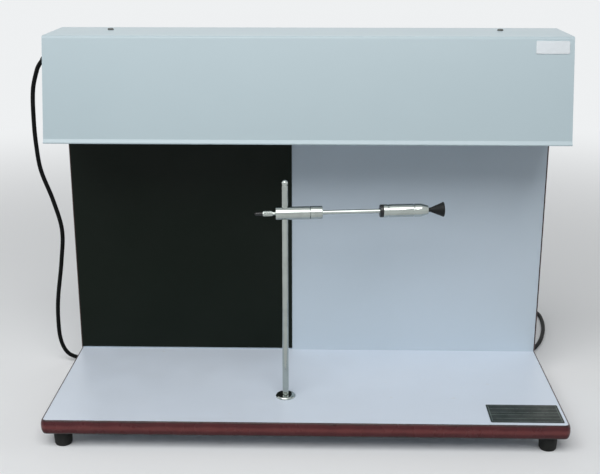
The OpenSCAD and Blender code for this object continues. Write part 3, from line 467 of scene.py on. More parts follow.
class Tree:
    """A node tree while it is drawn up."""

    def __init__(self, tree: bpy.types.NodeTree) -> None:
        """Takes the tree to draw in."""
        self.tree = tree

    def feed(self, target: Socket, value: Value) -> None:
        """Joins a socket to an input, or sets the input's own value.

        Args:
            target: The input.
            value: Another node's output, or a plain value; a colour gets its alpha here.
        """
        if isinstance(value, bpy.types.NodeSocket):
            self.tree.links.new(value, target)
        else:
            target.default_value = (*value, 1.0) if target.type == "RGBA" else value

    def node(
        self, kind: str, options: dict[str, str] | None = None, **inputs: Value
    ) -> bpy.types.Node:
        """Adds a node.

        Args:
            kind: The node's type.
            options: Its own settings.
            inputs: What feeds its inputs, by their names with underscores for spaces.

        Returns:
            The new node.
        """
        node = self.tree.nodes.new(kind)
        for key, value in (options or {}).items():
            setattr(node, key, value)
        for key, value in inputs.items():
            self.feed(node.inputs[key.replace("_", " ")], value)
        return node

    def math(self, operation: str, first: Value, second: Value = 0.0) -> Socket:
        """Joins two values by a math operation.

        Args:
            operation: The operation.
            first: Its first value.
            second: Its second value, unused by operations on one.

        Returns:
            The result.
        """
        node = self.node("ShaderNodeMath", {"operation": operation})
        self.feed(node.inputs[0], first)
        self.feed(node.inputs[1], second)
        return node.outputs[0]

    def window(self, value: Value, low: Value, high: Value) -> Socket:
        """Maps a value onto 0 to 1 between two limits, smoothly and clamped.

        Args:
            value: The value.
            low: Where the result is 0.
            high: Where the result is 1.

        Returns:
            The result.
        """
        smooth = {"interpolation_type": "SMOOTHSTEP"}
        ends = {"Value": value, "From_Min": low, "From_Max": high}
        return self.node("ShaderNodeMapRange", smooth, **ends).outputs[0]

    def split(self, vector: Value) -> bpy.types.bpy_prop_collection:
        """Takes a vector apart into X, Y and Z."""
        return self.node("ShaderNodeSeparateXYZ", Vector=vector).outputs

    def looked_at(self) -> Socket:
        """A mask that is 1 for what the camera sees, also in gloss and through glass.

        Returns:
            The mask.
        """
        rays = self.node("ShaderNodeLightPath").outputs
        seen = self.math("MAXIMUM", rays["Is Camera Ray"], rays["Is Glossy Ray"])
        return self.math("MAXIMUM", seen, rays["Is Transmission Ray"])

    def mixed(self, mask: Socket, *surfaces: bpy.types.Node) -> Socket:
        """Mixes two surfaces by a mask.

        Args:
            mask: The mask.
            surfaces: The surface where the mask is 0, and the one where it is 1.

        Returns:
            The mixed surface.
        """
        mix = self.node("ShaderNodeMixShader", Fac=mask)
        for place, surface in enumerate(surfaces, 1):
            self.feed(mix.inputs[place], surface.outputs[0])
        return mix.outputs[0]


class Sheet(Tree):
    """A material's node tree, with a Principled surface."""

    def __init__(self, name: str, **plain: float) -> None:
        """Makes the material.

        Args:
            name: The material's name.
            plain: Constants of the surface, by their names with underscores for spaces.
        """
        self.material = bpy.data.materials.new(name)
        self.material.use_nodes = True
        super().__init__(self.material.node_tree)
        self.tree.nodes.clear()
        self.surface = self.node("ShaderNodeBsdfPrincipled", **plain)
        self.out = self.node("ShaderNodeOutputMaterial", Surface=self.surface.outputs[0])
        self.coordinates = self.node("ShaderNodeTexCoord").outputs["Object"]

    def seen_from(self, place: Stand) -> Socket:
        """Object coordinates seen from a frame that stands elsewhere, in metres.

        Args:
            place: The frame.

        Returns:
            The coordinates in that frame.
        """
        matrix = place.in_row()
        return self.node(
            "ShaderNodeMapping", {"vector_type": "TEXTURE"}, Vector=self.coordinates,
            Location=matrix.to_translation(), Rotation=matrix.to_euler(),
        ).outputs[0]

    def effect(
        self, group: bpy.types.NodeTree, vector: Socket | None = None, **values: float
    ) -> Socket:
        """Places a shared effect; it reads object coordinates if no vector is given."""
        place = vector or self.coordinates
        return self.node("ShaderNodeGroup", {"node_tree": group}, Vector=place, **values).outputs[0]

    def blended(self, mask: Socket, low: Colour | Socket, high: Colour | Socket) -> Socket:
        """Mixes two colours by a mask.

        Args:
            mask: The mask.
            low: Colour where the mask is 0.
            high: Colour where the mask is 1.

        Returns:
            The mixed colour.
        """
        mix = self.node("ShaderNodeMix", {"data_type": "RGBA"})
        for place, value in ((0, mask), (6, low), (7, high)):
            self.feed(mix.inputs[place], value)
        return mix.outputs[2]

    def marked(self, tone: Socket, mask: Socket, colour: Colour, strength: float) -> Socket:
        """Lays a colour over a tone where a mask is, at that strength."""
        return self.blended(self.math("MULTIPLY", mask, strength), tone, colour)

    def dusted(self, tone: Socket, colour: Colour, amount: float, scale: float = 18.0) -> Socket:
        """Lets dust settle on what faces up; scale is in patches per metre."""
        return self.blended(self.effect(settled_dust(), Scale=scale, Amount=amount), tone, colour)

    def spread(self, value: Socket, low: float, high: float) -> Socket:
        """Maps a mask of 0 to 1 onto a range."""
        return self.node("ShaderNodeMapRange", Value=value, To_Min=low, To_Max=high).outputs[0]

    def finished(
        self, colour: Socket, rough: Socket, *heights: tuple[Socket, float]
    ) -> bpy.types.Material:
        """Feeds the surface.

        Args:
            colour: The base colour.
            rough: The roughness.
            heights: Height maps that bend the normal, each with its depth in millimetres.

        Returns:
            The material.
        """
        self.feed(self.surface.inputs["Base Color"], colour)
        self.feed(self.surface.inputs["Roughness"], rough)
        bent = self.surface
        for height, depth in reversed(heights):
            bump = self.node("ShaderNodeBump", Strength=1.0, Distance=depth * METRE, Height=height)
            self.feed(bent.inputs["Normal"], bump.outputs[0])
            bent = bump
        return self.material


class Effect(Tree):
    """A shared shader effect while its node group is drawn up."""

    def __init__(self, name: str, output: str = "Mask", **inputs: float) -> None:
        """Makes the group.

        Args:
            name: The group's name.
            output: Its output's name.
            inputs: Its inputs beside the place that it reads, with their usual values.
        """
        super().__init__(bpy.data.node_groups.new(name, "ShaderNodeTree"))
        face = self.tree.interface
        face.new_socket(name="Vector", in_out="INPUT", socket_type="NodeSocketVector")
        for key, value in inputs.items():
            socket = face.new_socket(name=key, in_out="INPUT", socket_type="NodeSocketFloat")
            socket.default_value = value
        face.new_socket(name=output, in_out="OUTPUT", socket_type="NodeSocketFloat")
        self.given = self.node("NodeGroupInput").outputs
        self.target = self.node("NodeGroupOutput").inputs[0]

    def noise(self, scale: Value, detail: Value, place: Value | None = None) -> Socket:
        """Noise of 0 to 1, read at the group's own place if none is given."""
        vector = place or self.given["Vector"]
        return self.node("ShaderNodeTexNoise", Vector=vector, Scale=scale, Detail=detail).outputs[0]

    def done(self, result: Socket) -> bpy.types.NodeTree:
        """Feeds the output and returns the finished group."""
        self.feed(self.target, result)
        return self.tree


@cache
def clouds() -> bpy.types.NodeTree:
    """Soft, broad variation of tone. Scale is in patches per metre.

    Returns:
        The shared group.
    """
    e = Effect("clouds", Scale=8.0, Detail=3.0, Low=0.35, High=0.65)
    noise = e.noise(e.given["Scale"], e.given["Detail"])
    return e.done(e.window(noise, e.given["Low"], e.given["High"]))


@cache
def specks() -> bpy.types.NodeTree:
    """Small dots, such as dust, pits and flecks. Amount is from 0 to 1.

    Returns:
        The shared group.
    """
    e = Effect("specks", Scale=900.0, Amount=0.1)
    cells = e.node("ShaderNodeTexVoronoi", Vector=e.given["Vector"], Scale=e.given["Scale"])
    size = e.math("MULTIPLY", e.math("MULTIPLY", cells.outputs["Color"], e.given["Amount"]), 0.9)
    return e.done(e.window(e.math("SUBTRACT", size, cells.outputs["Distance"]), 0.0, 0.08))


@cache
def scratches() -> bpy.types.NodeTree:
    """Hair-fine scuffs in one main direction. Turn is the angle in the XZ plane.

    Returns:
        The shared group.
    """
    e = Effect("scratches", Scale=60.0, Amount=0.3, Turn=0.3)
    turn = e.node("ShaderNodeCombineXYZ", Y=e.given["Turn"]).outputs[0]
    drawn = e.node(
        "ShaderNodeMapping", Vector=e.given["Vector"], Rotation=turn, Scale=(1.0, 1.0, 26.0)
    ).outputs[0]
    start = e.math("ADD", e.math("MULTIPLY", e.given["Amount"], -0.12), 0.74)
    lines = e.window(e.noise(e.given["Scale"], 2.0, drawn), start, e.math("ADD", start, 0.03))
    return e.done(e.math("MULTIPLY", lines, e.window(e.noise(14.0, 2.0), 0.48, 0.62)))


@cache
def settled_dust() -> bpy.types.NodeTree:
    """Dust that lies on what faces up, thicker in patches.

    Returns:
        The shared group.
    """
    e = Effect("settled_dust", Scale=18.0, Amount=0.5)
    up = e.window(e.split(e.node("ShaderNodeNewGeometry").outputs["Normal"])["Z"], 0.5, 0.98)
    broad = e.window(e.noise(e.given["Scale"], 6.0), 0.36, 0.72)
    fine = e.window(e.noise(1600.0, 2.0), 0.4, 0.7)
    lying = e.math("MULTIPLY", up, e.math("MULTIPLY", broad, fine))
    return e.done(e.math("MULTIPLY", lying, e.given["Amount"]))


@cache
def peel() -> bpy.types.NodeTree:
    """The slight waviness of sprayed paint, laminate and moulded skins."""
    e = Effect("peel", "Height", Scale=500.0, Detail=2.0)
    return e.done(e.noise(e.given["Scale"], e.given["Detail"]))


@cache
def drawn_lines() -> bpy.types.NodeTree:
    """Fine lines along X, as on extruded plastic, rolled sheet and drawn bars.

    Returns:
        The shared group.
    """
    e = Effect("drawn_lines", "Height", Scale=1200.0, Stretch=0.02)
    part = e.split(e.given["Vector"])
    along = e.math("MULTIPLY", part["X"], e.given["Stretch"])
    squeezed = e.node("ShaderNodeCombineXYZ", X=along, Y=part["Y"], Z=part["Z"]).outputs[0]
    return e.done(e.noise(e.given["Scale"], 3.0, squeezed))


@cache
def turned_lines() -> bpy.types.NodeTree:
    """Fine rings across X, as a lathe tool leaves them.

    Returns:
        The shared group.
    """
    e = Effect("turned_lines", "Height", Scale=2500.0)
    flat = e.node("ShaderNodeCombineXYZ", X=e.split(e.given["Vector"])["X"]).outputs[0]
    return e.done(e.noise(e.given["Scale"], 2.0, flat))


# Its bands place the edging's painted shade and painted highlight.
@cache
def across() -> bpy.types.NodeTree:
    """A band along a strip: 0 up to Low from its middle in Z, 1 from High on, slightly uneven.

    Returns:
        The shared group.
    """
    e = Effect("across", Low=0.006, High=0.009)
    off = e.math("ABSOLUTE", e.split(e.given["Vector"])["Z"])
    shift = e.math("MULTIPLY", e.math("SUBTRACT", e.noise(45.0, 4.0), 0.5), 0.005)
    return e.done(e.window(e.math("ADD", off, shift), e.given["Low"], e.given["High"]))


# Finishes


class Finish(Protocol):
    """What draws up one material."""

    def build(self) -> bpy.types.Material:
        """Draws up the material."""


@cache
def material(finish: Finish) -> bpy.types.Material:
    """The material of a finish, drawn up once."""
    return finish.build()


@dataclass(frozen=True)
class Laminate:
    """Smooth board laminate, with faint tone, wiped marks and settled dust."""

    name: str
    colour: Colour
    shade: Colour
    gloss: Range = (0.32, 0.5)
    dust: float = 0.12
    dust_colour: Colour = (0.55, 0.55, 0.52)
    scuffs: float = 0.25
    scuff_colour: Colour = (0.62, 0.64, 0.65)
    gleam: float = 0.5

    def build(self) -> bpy.types.Material:
        """Draws up the material.

        Returns:
            The material.
        """
        s = Sheet(self.name, IOR=PLASTIC_IOR, Specular_IOR_Level=self.gleam)
        tone = s.blended(s.effect(clouds(), Scale=5.0, Low=0.3, High=0.7), self.colour, self.shade)
        worn = s.effect(scratches(), Scale=90.0, Amount=self.scuffs, Turn=0.5)
        tone = s.dusted(s.marked(tone, worn, self.scuff_colour, 0.35), self.dust_colour, self.dust)
        wiped = s.effect(clouds(), Scale=22.0, Detail=5.0, Low=0.35, High=0.7)
        fine, broad = s.effect(peel(), Scale=700.0), s.effect(peel(), Scale=60.0)
        return s.finished(tone, s.spread(wiped, *self.gloss), (fine, 0.012), (broad, 0.05))


@dataclass(frozen=True)
class Enamel:
    """Sprayed steel: a slightly wavy coat with faint marks and a little dust."""

    name: str
    colour: Colour
    shade: Colour
    gloss: Range = (0.33, 0.4)
    dust: float = 0.1
    peel_depth: float = 0.02

    def build(self) -> bpy.types.Material:
        """Draws up the material.

        Returns:
            The material.
        """
        s = Sheet(self.name, IOR=PLASTIC_IOR)
        uneven = s.effect(clouds(), Scale=6.0, Detail=4.0, Low=0.15, High=0.85)
        chips = s.effect(specks(), Scale=140.0, Amount=0.13)
        tone = s.marked(s.blended(uneven, self.colour, self.shade), chips, (0.42, 0.44, 0.45), 0.4)
        tone = s.dusted(tone, (0.58, 0.57, 0.53), self.dust, 12.0)
        wiped = s.effect(clouds(), Scale=16.0, Detail=5.0, Low=0.1, High=0.9)
        fine, broad = s.effect(peel(), Scale=420.0), s.effect(peel(), Scale=9.0)
        return s.finished(tone, s.spread(wiped, *self.gloss), (fine, self.peel_depth), (broad, 0.2))


@dataclass(frozen=True)
class EdgingVinyl:
    """Glossy extruded edging with a fine lengthwise grain, painted highlight on its nose, painted
    shade at its lips.
    """

    name: str
    middle: Stand
    colour: Colour = (0.064, 0.009, 0.012)
    shade: Colour = (0.084, 0.014, 0.017)
    # The next two colours are painted light: a highlight along the nose and shade at the lips.
    rubbed_and_painted_highlight: Colour = (0.150, 0.037, 0.037)
    painted_lip_shade: Colour = (0.030, 0.009, 0.009)

    def build(self) -> bpy.types.Material:
        """Draws up the material.

        Returns:
            The material.
        """
        s = Sheet(self.name, IOR=PLASTIC_IOR, Specular_IOR_Level=0.3)
        own = s.seen_from(self.middle)
        grain = s.effect(drawn_lines(), Scale=900.0, Stretch=0.015)
        tone = s.blended(grain, self.colour, self.shade)
        # Painted shade darkens the lips, then a painted highlight lightens the middle of the nose.
        tone = s.blended(s.effect(across(), own, Low=0.0062, High=0.0092), tone, self.painted_lip_shade)
        tone = s.blended(s.effect(across(), own, Low=0.0048, High=0.0004), tone, self.rubbed_and_painted_highlight)
        scuffs = s.effect(scratches(), Scale=120.0, Amount=0.5, Turn=1.4)
        tone = s.marked(tone, scuffs, (0.3, 0.2, 0.19), 0.3)
        rubbed_and_painted_highlight = s.effect(clouds(), Scale=30.0, Detail=5.0, Low=0.4, High=0.7)
        wavy = s.effect(peel(), Scale=60.0)
        return s.finished(tone, s.spread(rubbed_and_painted_highlight, 0.24, 0.4), (grain, 0.02), (wavy, 0.08))


@dataclass(frozen=True)
class Plating:
    """Bright plating over a turned or drawn bar, in its own frame."""

    name: str
    colour: Colour
    place: Stand = HOME
    gloss: Range = (0.06, 0.2)
    grain: Grain = Grain.TURNED
    depth: float = 0.0025
    stain: Colour = (0.30, 0.29, 0.26)

    def build(self) -> bpy.types.Material:
        """Draws up the material.

        Returns:
            The material.
        """
        s = Sheet(self.name, Metallic=1.0)
        own = s.seen_from(self.place)
        lines = s.effect(turned_lines() if self.grain is Grain.TURNED else drawn_lines(), own)
        haze = s.effect(clouds(), own, Scale=70.0, Detail=5.0, Low=0.42, High=0.75)
        pits = s.effect(specks(), own, Scale=900.0, Amount=0.16)
        dull = tuple(0.62 * c for c in self.colour)
        tone = s.blended(s.math("MULTIPLY", haze, 0.35), self.colour, dull)
        rough = s.math("ADD", s.spread(haze, *self.gloss), s.math("MULTIPLY", pits, 0.3))
        return s.finished(s.blended(pits, tone, self.stain), rough, (lines, self.depth))


@dataclass(frozen=True)
class Moulded:
    """Moulded plastic or rubber with a fine skin."""

    name: str
    colour: Colour
    shade: Colour
    gloss: Range = (0.4, 0.6)
    skin: float = 0.03
    skin_scale: float = 1500.0
    dust: float = 0.25
    gleam: float = 0.4

    def build(self) -> bpy.types.Material:
        """Draws up the material.

        Returns:
            The material.
        """
        s = Sheet(self.name, IOR=PLASTIC_IOR, Specular_IOR_Level=self.gleam)
        tone = s.blended(s.effect(clouds(), Scale=40.0, Detail=4.0), self.colour, self.shade)
        pale = tuple(min(1.0, 0.10 + 1.5 * c) for c in self.colour)
        tone = s.marked(tone, s.effect(specks(), Scale=700.0, Amount=0.15), pale, 0.6)
        tone = s.dusted(tone, (0.42, 0.41, 0.39), self.dust, 60.0)
        rubbed_and_painted_highlight = s.effect(clouds(), Scale=90.0, Detail=4.0, Low=0.35, High=0.7)
        skin = s.effect(peel(), Scale=self.skin_scale, Detail=3.0)
        return s.finished(tone, s.spread(rubbed_and_painted_highlight, *self.gloss), (skin, self.skin))


@dataclass(frozen=True)
class RuledPlate:
    """A dark plate with a pale border and plain rules, measured from its middle in millimetres."""

    name: str
    middle: Stand
    size: tuple[float, float]
    ground: Colour = (0.006, 0.011, 0.008)
    line: Colour = (0.15, 0.19, 0.17)
    rules: tuple[float, ...] = (13.0, 3.0, -4.0, -14.0)
    border: float = 2.4
    line_w: float = 0.7

    def _band(self, s: Sheet, value: Socket, at: float) -> Socket:
        """A mask that is 1 where a coordinate lies on a line at the given distance."""
        off = s.math("ABSOLUTE", s.math("SUBTRACT", value, at * METRE))
        return s.math("LESS_THAN", off, self.line_w / 2 * METRE)

    def _drawing(self, s: Sheet) -> Socket:
        """A mask of the border and the rules.

        Args:
            s: The material's tree.

        Returns:
            The mask, 1 on the lines.
        """
        own = s.split(s.seen_from(self.middle))
        off = [s.math("ABSOLUTE", own[axis]) for axis in "XY"]
        half = [size / 2 - self.border for size in self.size]
        lines = s.math("MAXIMUM", *(self._band(s, value, at) for value, at in zip(off, half)))
        for at in self.rules:
            lines = s.math("MAXIMUM", lines, self._band(s, own["Y"], at))
        for value, at in zip(off, half):
            inside = s.math("LESS_THAN", value, (at + self.line_w / 2) * METRE)
            lines = s.math("MULTIPLY", lines, inside)
        return lines

    def build(self) -> bpy.types.Material:
        """Draws up the material.

        Returns:
            The material.
        """
        s = Sheet(self.name, IOR=PLASTIC_IOR, Specular_IOR_Level=0.2)
        lines = self._drawing(s)
        worn = s.spread(s.effect(clouds(), Scale=300.0, Detail=4.0, Low=0.25, High=0.6), 0.35, 1.0)
        pale = tuple(1.5 * c for c in self.ground)
        ground = s.blended(s.effect(clouds(), Scale=60.0), self.ground, pale)
        tone = s.blended(s.math("MULTIPLY", lines, worn), ground, self.line)
        tone = s.dusted(tone, (0.5, 0.5, 0.48), 0.12, 60.0)
        height = s.math("SUBTRACT", s.effect(peel(), Scale=1500.0), s.math("MULTIPLY", lines, 4.0))
        rough = s.spread(s.effect(clouds(), Scale=120.0), 0.28, 0.45)
        return s.finished(tone, rough, (height, 0.02))


@dataclass(frozen=True)
class MilkGlass:
    """A lamp tube: clear glass over a white powder coat, greyer towards its ends."""

    name: str
    half_length: float

    def build(self) -> bpy.types.Material:
        """Draws up the material.

        Returns:
            The material.
        """
        s = Sheet(self.name, IOR=PLASTIC_IOR, Coat_Weight=1.0, Coat_Roughness=0.04)
        off = s.math("ABSOLUTE", s.split(s.coordinates)["X"])
        ends = s.window(s.math("DIVIDE", off, self.half_length * METRE), 0.9, 1.0)
        tone = s.blended(ends, (0.86, 0.88, 0.88), (0.38, 0.36, 0.34))
        grain = s.effect(specks(), Scale=1500.0, Amount=0.3)
        rough = s.spread(s.effect(clouds(), Scale=50.0), 0.5, 0.7)
        return s.finished(s.marked(tone, grain, (0.7, 0.7, 0.69), 0.2), rough)


@dataclass(frozen=True)
class CableSheath:
    """A flexible black sheath with fine lines along it and scuffs, on the tube's own UV map."""

    name: str
    colour: Colour
    shade: Colour

    def build(self) -> bpy.types.Material:
        """Draws up the material.

        Returns:
            The material.
        """
        s = Sheet(self.name, IOR=PLASTIC_IOR, Specular_IOR_Level=0.05)
        along = s.node("ShaderNodeUVMap").outputs[0]
        lines = s.effect(drawn_lines(), along, Scale=260.0, Stretch=0.02)
        scuffed = s.effect(clouds(), Scale=90.0, Detail=5.0, Low=0.42, High=0.75)
        tone = s.blended(s.math("MULTIPLY", scuffed, 0.7), self.colour, self.shade)
        tone = s.dusted(tone, (0.1, 0.1, 0.095), 0.04, 80.0)
        return s.finished(tone, s.spread(scuffed, 0.42, 0.62), (lines, 0.03))


WHITE = Laminate("white_laminate", (0.675, 0.745, 0.835), (0.65, 0.72, 0.81))
# A darker copy of the white laminate for the upright board: painted shade, as less light reaches
# the upright.
WHITE_UPRIGHT_PAINTED_SHADE = Laminate("white_laminate_upright", (0.575, 0.665, 0.745), (0.555, 0.645, 0.72))
BLACK = Laminate(
    "black_laminate", (0.005, 0.009, 0.006), (0.008, 0.012, 0.009), (0.3, 0.42),
    dust=0.0, scuffs=0.3, scuff_colour=(0.03, 0.034, 0.033), gleam=0.1,
)
VINYL = EdgingVinyl("maroon_vinyl", Stand((0.0, 0.0, 31.0)))
VINYL_UPRIGHT = EdgingVinyl("maroon_vinyl_upright", Stand((0.0, 242.0, 0.0), (90.0, 0.0, 0.0)))
PAINT = Enamel("hood_enamel", (0.45, 0.55, 0.59), (0.435, 0.535, 0.575))
ZINC = Plating("zinc_plating", (0.62, 0.63, 0.64), HOME, (0.25, 0.42))
DULL_STEEL = Plating("dull_steel", (0.10, 0.105, 0.10), HOME, (0.4, 0.6))
SPRING = Plating("spring_steel", (0.34, 0.35, 0.37), HOME, (0.25, 0.4))
CAP_METAL = Plating("lamp_cap_aluminium", (0.72, 0.73, 0.74), HOME, (0.28, 0.42))
CAN = Plating("starter_aluminium", (0.76, 0.77, 0.78), POST, (0.24, 0.36))
BRASS = Plating(
    "blade_brass", (0.72, 0.52, 0.22), HOME, (0.16, 0.34), Grain.DRAWN, 0.006, (0.32, 0.20, 0.08)
)
# The chromes' base colours are partly a painted reflection: darker and greener than bright chrome,
# for dark green surroundings.
CHROME_POST = Plating("chrome_of_post", (0.42, 0.455, 0.43), POST, (0.05, 0.16))
CHROME_ARM = Plating("chrome_of_arm", (0.43, 0.465, 0.44), ARM, (0.05, 0.16))
RUBBER = Moulded(
    "foot_rubber", (0.010, 0.011, 0.010), (0.018, 0.019, 0.018), (0.62, 0.82),
    skin=0.06, skin_scale=1100.0, dust=0.1, gleam=0.25,
)
CUP_RUBBER = Moulded(
    "cup_rubber", (0.005, 0.006, 0.006), (0.01, 0.011, 0.011), (0.42, 0.6),
    skin=0.02, dust=0.08, gleam=0.2,
)
BAKELITE = Moulded(
    "black_plastic", (0.008, 0.009, 0.009), (0.013, 0.014, 0.014), (0.24, 0.4),
    skin=0.008, dust=0.1,
)
CABLE_PLASTIC = Moulded(
    "cable_plastic", (0.009, 0.010, 0.010), (0.016, 0.017, 0.017), (0.4, 0.58),
    skin_scale=900.0, dust=0.1, gleam=0.25,
)
HOLDER_PLASTIC = Moulded(
    "holder_plastic", (0.72, 0.73, 0.71), (0.66, 0.67, 0.64), (0.3, 0.48), skin=0.012
)
VARNISH = Moulded(
    "choke_varnish", (0.035, 0.035, 0.038), (0.06, 0.058, 0.056), (0.22, 0.5),
    skin=0.05, skin_scale=500.0,
)
SHEATH = CableSheath("cable_sheath", (0.007, 0.008, 0.008), (0.016, 0.017, 0.017))


# Geometry node trees


class Forming(Tree):
    """A geometry node tree with a Finish input, which works on the object that it is run on."""

    def __init__(self, name: str, **inputs: tuple[str, ...]) -> None:
        """Makes the tree.

        Args:
            name: The tree's name.
            inputs: Each further input's socket kind, and its usual value if it needs one.
        """
        super().__init__(bpy.data.node_groups.new(name, "GeometryNodeTree"))
        face = self.tree.interface
        for way in ("INPUT", "OUTPUT"):
            face.new_socket(name="Geometry", in_out=way, socket_type="NodeSocketGeometry")
        for key, (kind, *value) in {**inputs, "Finish": ("Material",)}.items():
            socket = face.new_socket(name=key, in_out="INPUT", socket_type="NodeSocket" + kind)
            if value:
                socket.default_value = value[0]
        self.given = self.node("NodeGroupInput").outputs

    def shown(self, name: str) -> Socket:
        """The geometry of the object that an input names."""
        return self.node("GeometryNodeObjectInfo", Object=self.given[name]).outputs["Geometry"]

    def done(self, result: Socket) -> bpy.types.NodeTree:
        """Ends the tree in Realize Instances and Set Material.

        Args:
            result: The geometry to put out.

        Returns:
            The finished tree.
        """
        real = self.node("GeometryNodeRealizeInstances", Geometry=result).outputs[0]
        finish = self.given["Finish"]
        dressed = self.node("GeometryNodeSetMaterial", Geometry=real, Material=finish).outputs[0]
        self.node("NodeGroupOutput", Geometry=dressed)
        return self.tree


def formed(
    tree: bpy.types.NodeTree, base: Piece, name: str, finish: Finish, **values: object
) -> Piece:
    """Runs a geometry node tree on an object and keeps the result as a plain mesh.

    Args:
        tree: The tree.
        base: The object it works on, which is removed.
        name: The new object's name.
        finish: The finish.
        values: The tree's other inputs, by their names.

    Returns:
        The new object.
    """
    modifier = base.modifiers.new("forming", "NODES")
    modifier.node_group = tree
    inputs = (item for item in tree.interface.items_tree if item.in_out == "INPUT")
    identifiers = {item.name: item.identifier for item in inputs}
    for key, value in {**values, "Finish": material(finish)}.items():
        modifier[identifiers[key]] = value
    return settle(base, name)


@cache
def fastener_tree() -> bpy.types.NodeTree:
    """Sets a part on each point, its Z along the point's facing and turned about it at random.

    Returns:
        The finished tree.
    """
    f = Forming("fasteners", Part=("Object",), Seed=("Int", 1), Turn=("Float", FULL_TURN))
    facing = f.node("GeometryNodeInputNamedAttribute", {"data_type": "FLOAT_VECTOR"}, Name="facing")
    aimed = f.node("FunctionNodeAlignRotationToVector", {"axis": "Z"}, Vector=facing.outputs[0])
    turn = f.node("FunctionNodeRandomValue", {"data_type": "FLOAT"}, Seed=f.given["Seed"])
    f.feed(turn.inputs[3], f.given["Turn"])
    spin = f.node("FunctionNodeAxisAngleToRotation", Axis=(0, 0, 1), Angle=turn.outputs[1])
    both = f.node("FunctionNodeRotateRotation", {"rotation_space": "LOCAL"})
    for place, value in enumerate((aimed, spin)):
        f.feed(both.inputs[place], value.outputs[0])
    points = f.node(
        "GeometryNodeInstanceOnPoints", Points=f.given["Geometry"], Instance=f.shown("Part"),
        Rotation=both.outputs[0],
    )
    return f.done(points.outputs[0])


@cache
def strip_tree() -> bpy.types.NodeTree:
    """Draws a section along a path, as an extruded edging follows its board.

    Returns:
        The finished tree.
    """
    f = Forming("strip", Section=("Object",))
    upright = f.node("GeometryNodeSetCurveNormal", {"mode": "Z_UP"}, Curve=f.given["Geometry"])
    drawn = f.node(
        "GeometryNodeCurveToMesh", Curve=upright.outputs[0], Profile_Curve=f.shown("Section"),
        Fill_Caps=True,
    )
    return f.done(drawn.outputs[0])


@cache
def knurl_tree() -> bpy.types.NodeTree:
    """Adds ridges side by side round a turned core's X axis, as a straight knurl has them.

    Returns:
        The finished tree.
    """
    f = Forming(
        "knurl", Count=("Int", 24), Radius=("Float", 0.003), Length=("Float", 0.01),
        Ridge=("Float", 0.0004), Middle=("Vector",),
    )
    given = f.given
    ring = f.node("GeometryNodeMeshCircle", Vertices=given["Count"], Radius=given["Radius"])
    bar = f.node(
        "GeometryNodeMeshCylinder", Vertices=8, Radius=given["Ridge"], Depth=given["Length"]
    )
    points = f.node(
        "GeometryNodeInstanceOnPoints", Points=ring.outputs["Mesh"], Instance=bar.outputs["Mesh"]
    )
    placed = f.node(
        "GeometryNodeTransform", Geometry=points.outputs[0], Translation=given["Middle"],
        Rotation=(0, math.pi / 2, 0),
    )
    joined = f.node("GeometryNodeJoinGeometry", Geometry=given["Geometry"])
    f.feed(joined.inputs[0], placed.outputs[0])
    return f.done(joined.outputs[0])


def set_on(name: str, part: Piece, places: Places, finish: Finish, seed: int) -> Piece:
    """Sets copies of a part on places.

    Args:
        name: The new piece's name.
        part: The part in its own frame, its Z outwards; it is removed.
        places: A position in body millimetres and the way the part's Z faces, for each copy.
        finish: The finish.
        seed: Seed of the turns about Z.

    Returns:
        The new piece, one plain mesh.
    """
    mesh = bpy.data.meshes.new(name + "_places")
    mesh.from_pydata([to_row(at) for at, _ in places], [], [])
    facing = mesh.attributes.new("facing", "FLOAT_VECTOR", "POINT")
    for row, (_, way) in zip(facing.data, places):
        row.vector = way
    cloud = linked(mesh, mesh.name)
    piece = formed(fastener_tree(), cloud, name, finish, Part=part, Seed=seed)
    bpy.data.objects.remove(part)
    return piece


# Shared pieces


def dress(finish: Finish, *nodes: str) -> None:
    """Gives CAD nodes a finish."""
    for slot in (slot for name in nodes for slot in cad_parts[name].material_slots):
        slot.material = material(finish)


def adopt(piece: Piece, body: Body, slot: Slot, *nodes: str) -> Piece:
    """Lets a piece ride on a body and stand for CAD nodes.

    Args:
        piece: The piece.
        body: The body.
        slot: Not used.
        nodes: The CAD nodes.

    Returns:
        The piece.
    """
    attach(piece, body.value)
    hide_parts(*nodes)
    log.info("%s rides on %s with %d faces", piece.name, body.value, len(piece.data.polygons))
    return piece


def lathed(
    name: str, place: Stand, profile: Sequence[Point], finish: Finish,
    axis: Axis = Axis.ALONG_X, steps: int = 4,
) -> Piece:
    """Turns a profile with rounded corners into a piece.

    Args:
        name: The piece's name.
        place: The frame about whose axis it is turned.
        profile: Closed outline of [distance along the axis, radius] points.
        finish: The finish.
        axis: The axis.
        steps: Chords in each rounded corner.

    Returns:
        The new piece.
    """
    shape = Shape(place.matrix()).turned(rounded(profile, steps), axis, 96)
    return shape.build(name, finish)


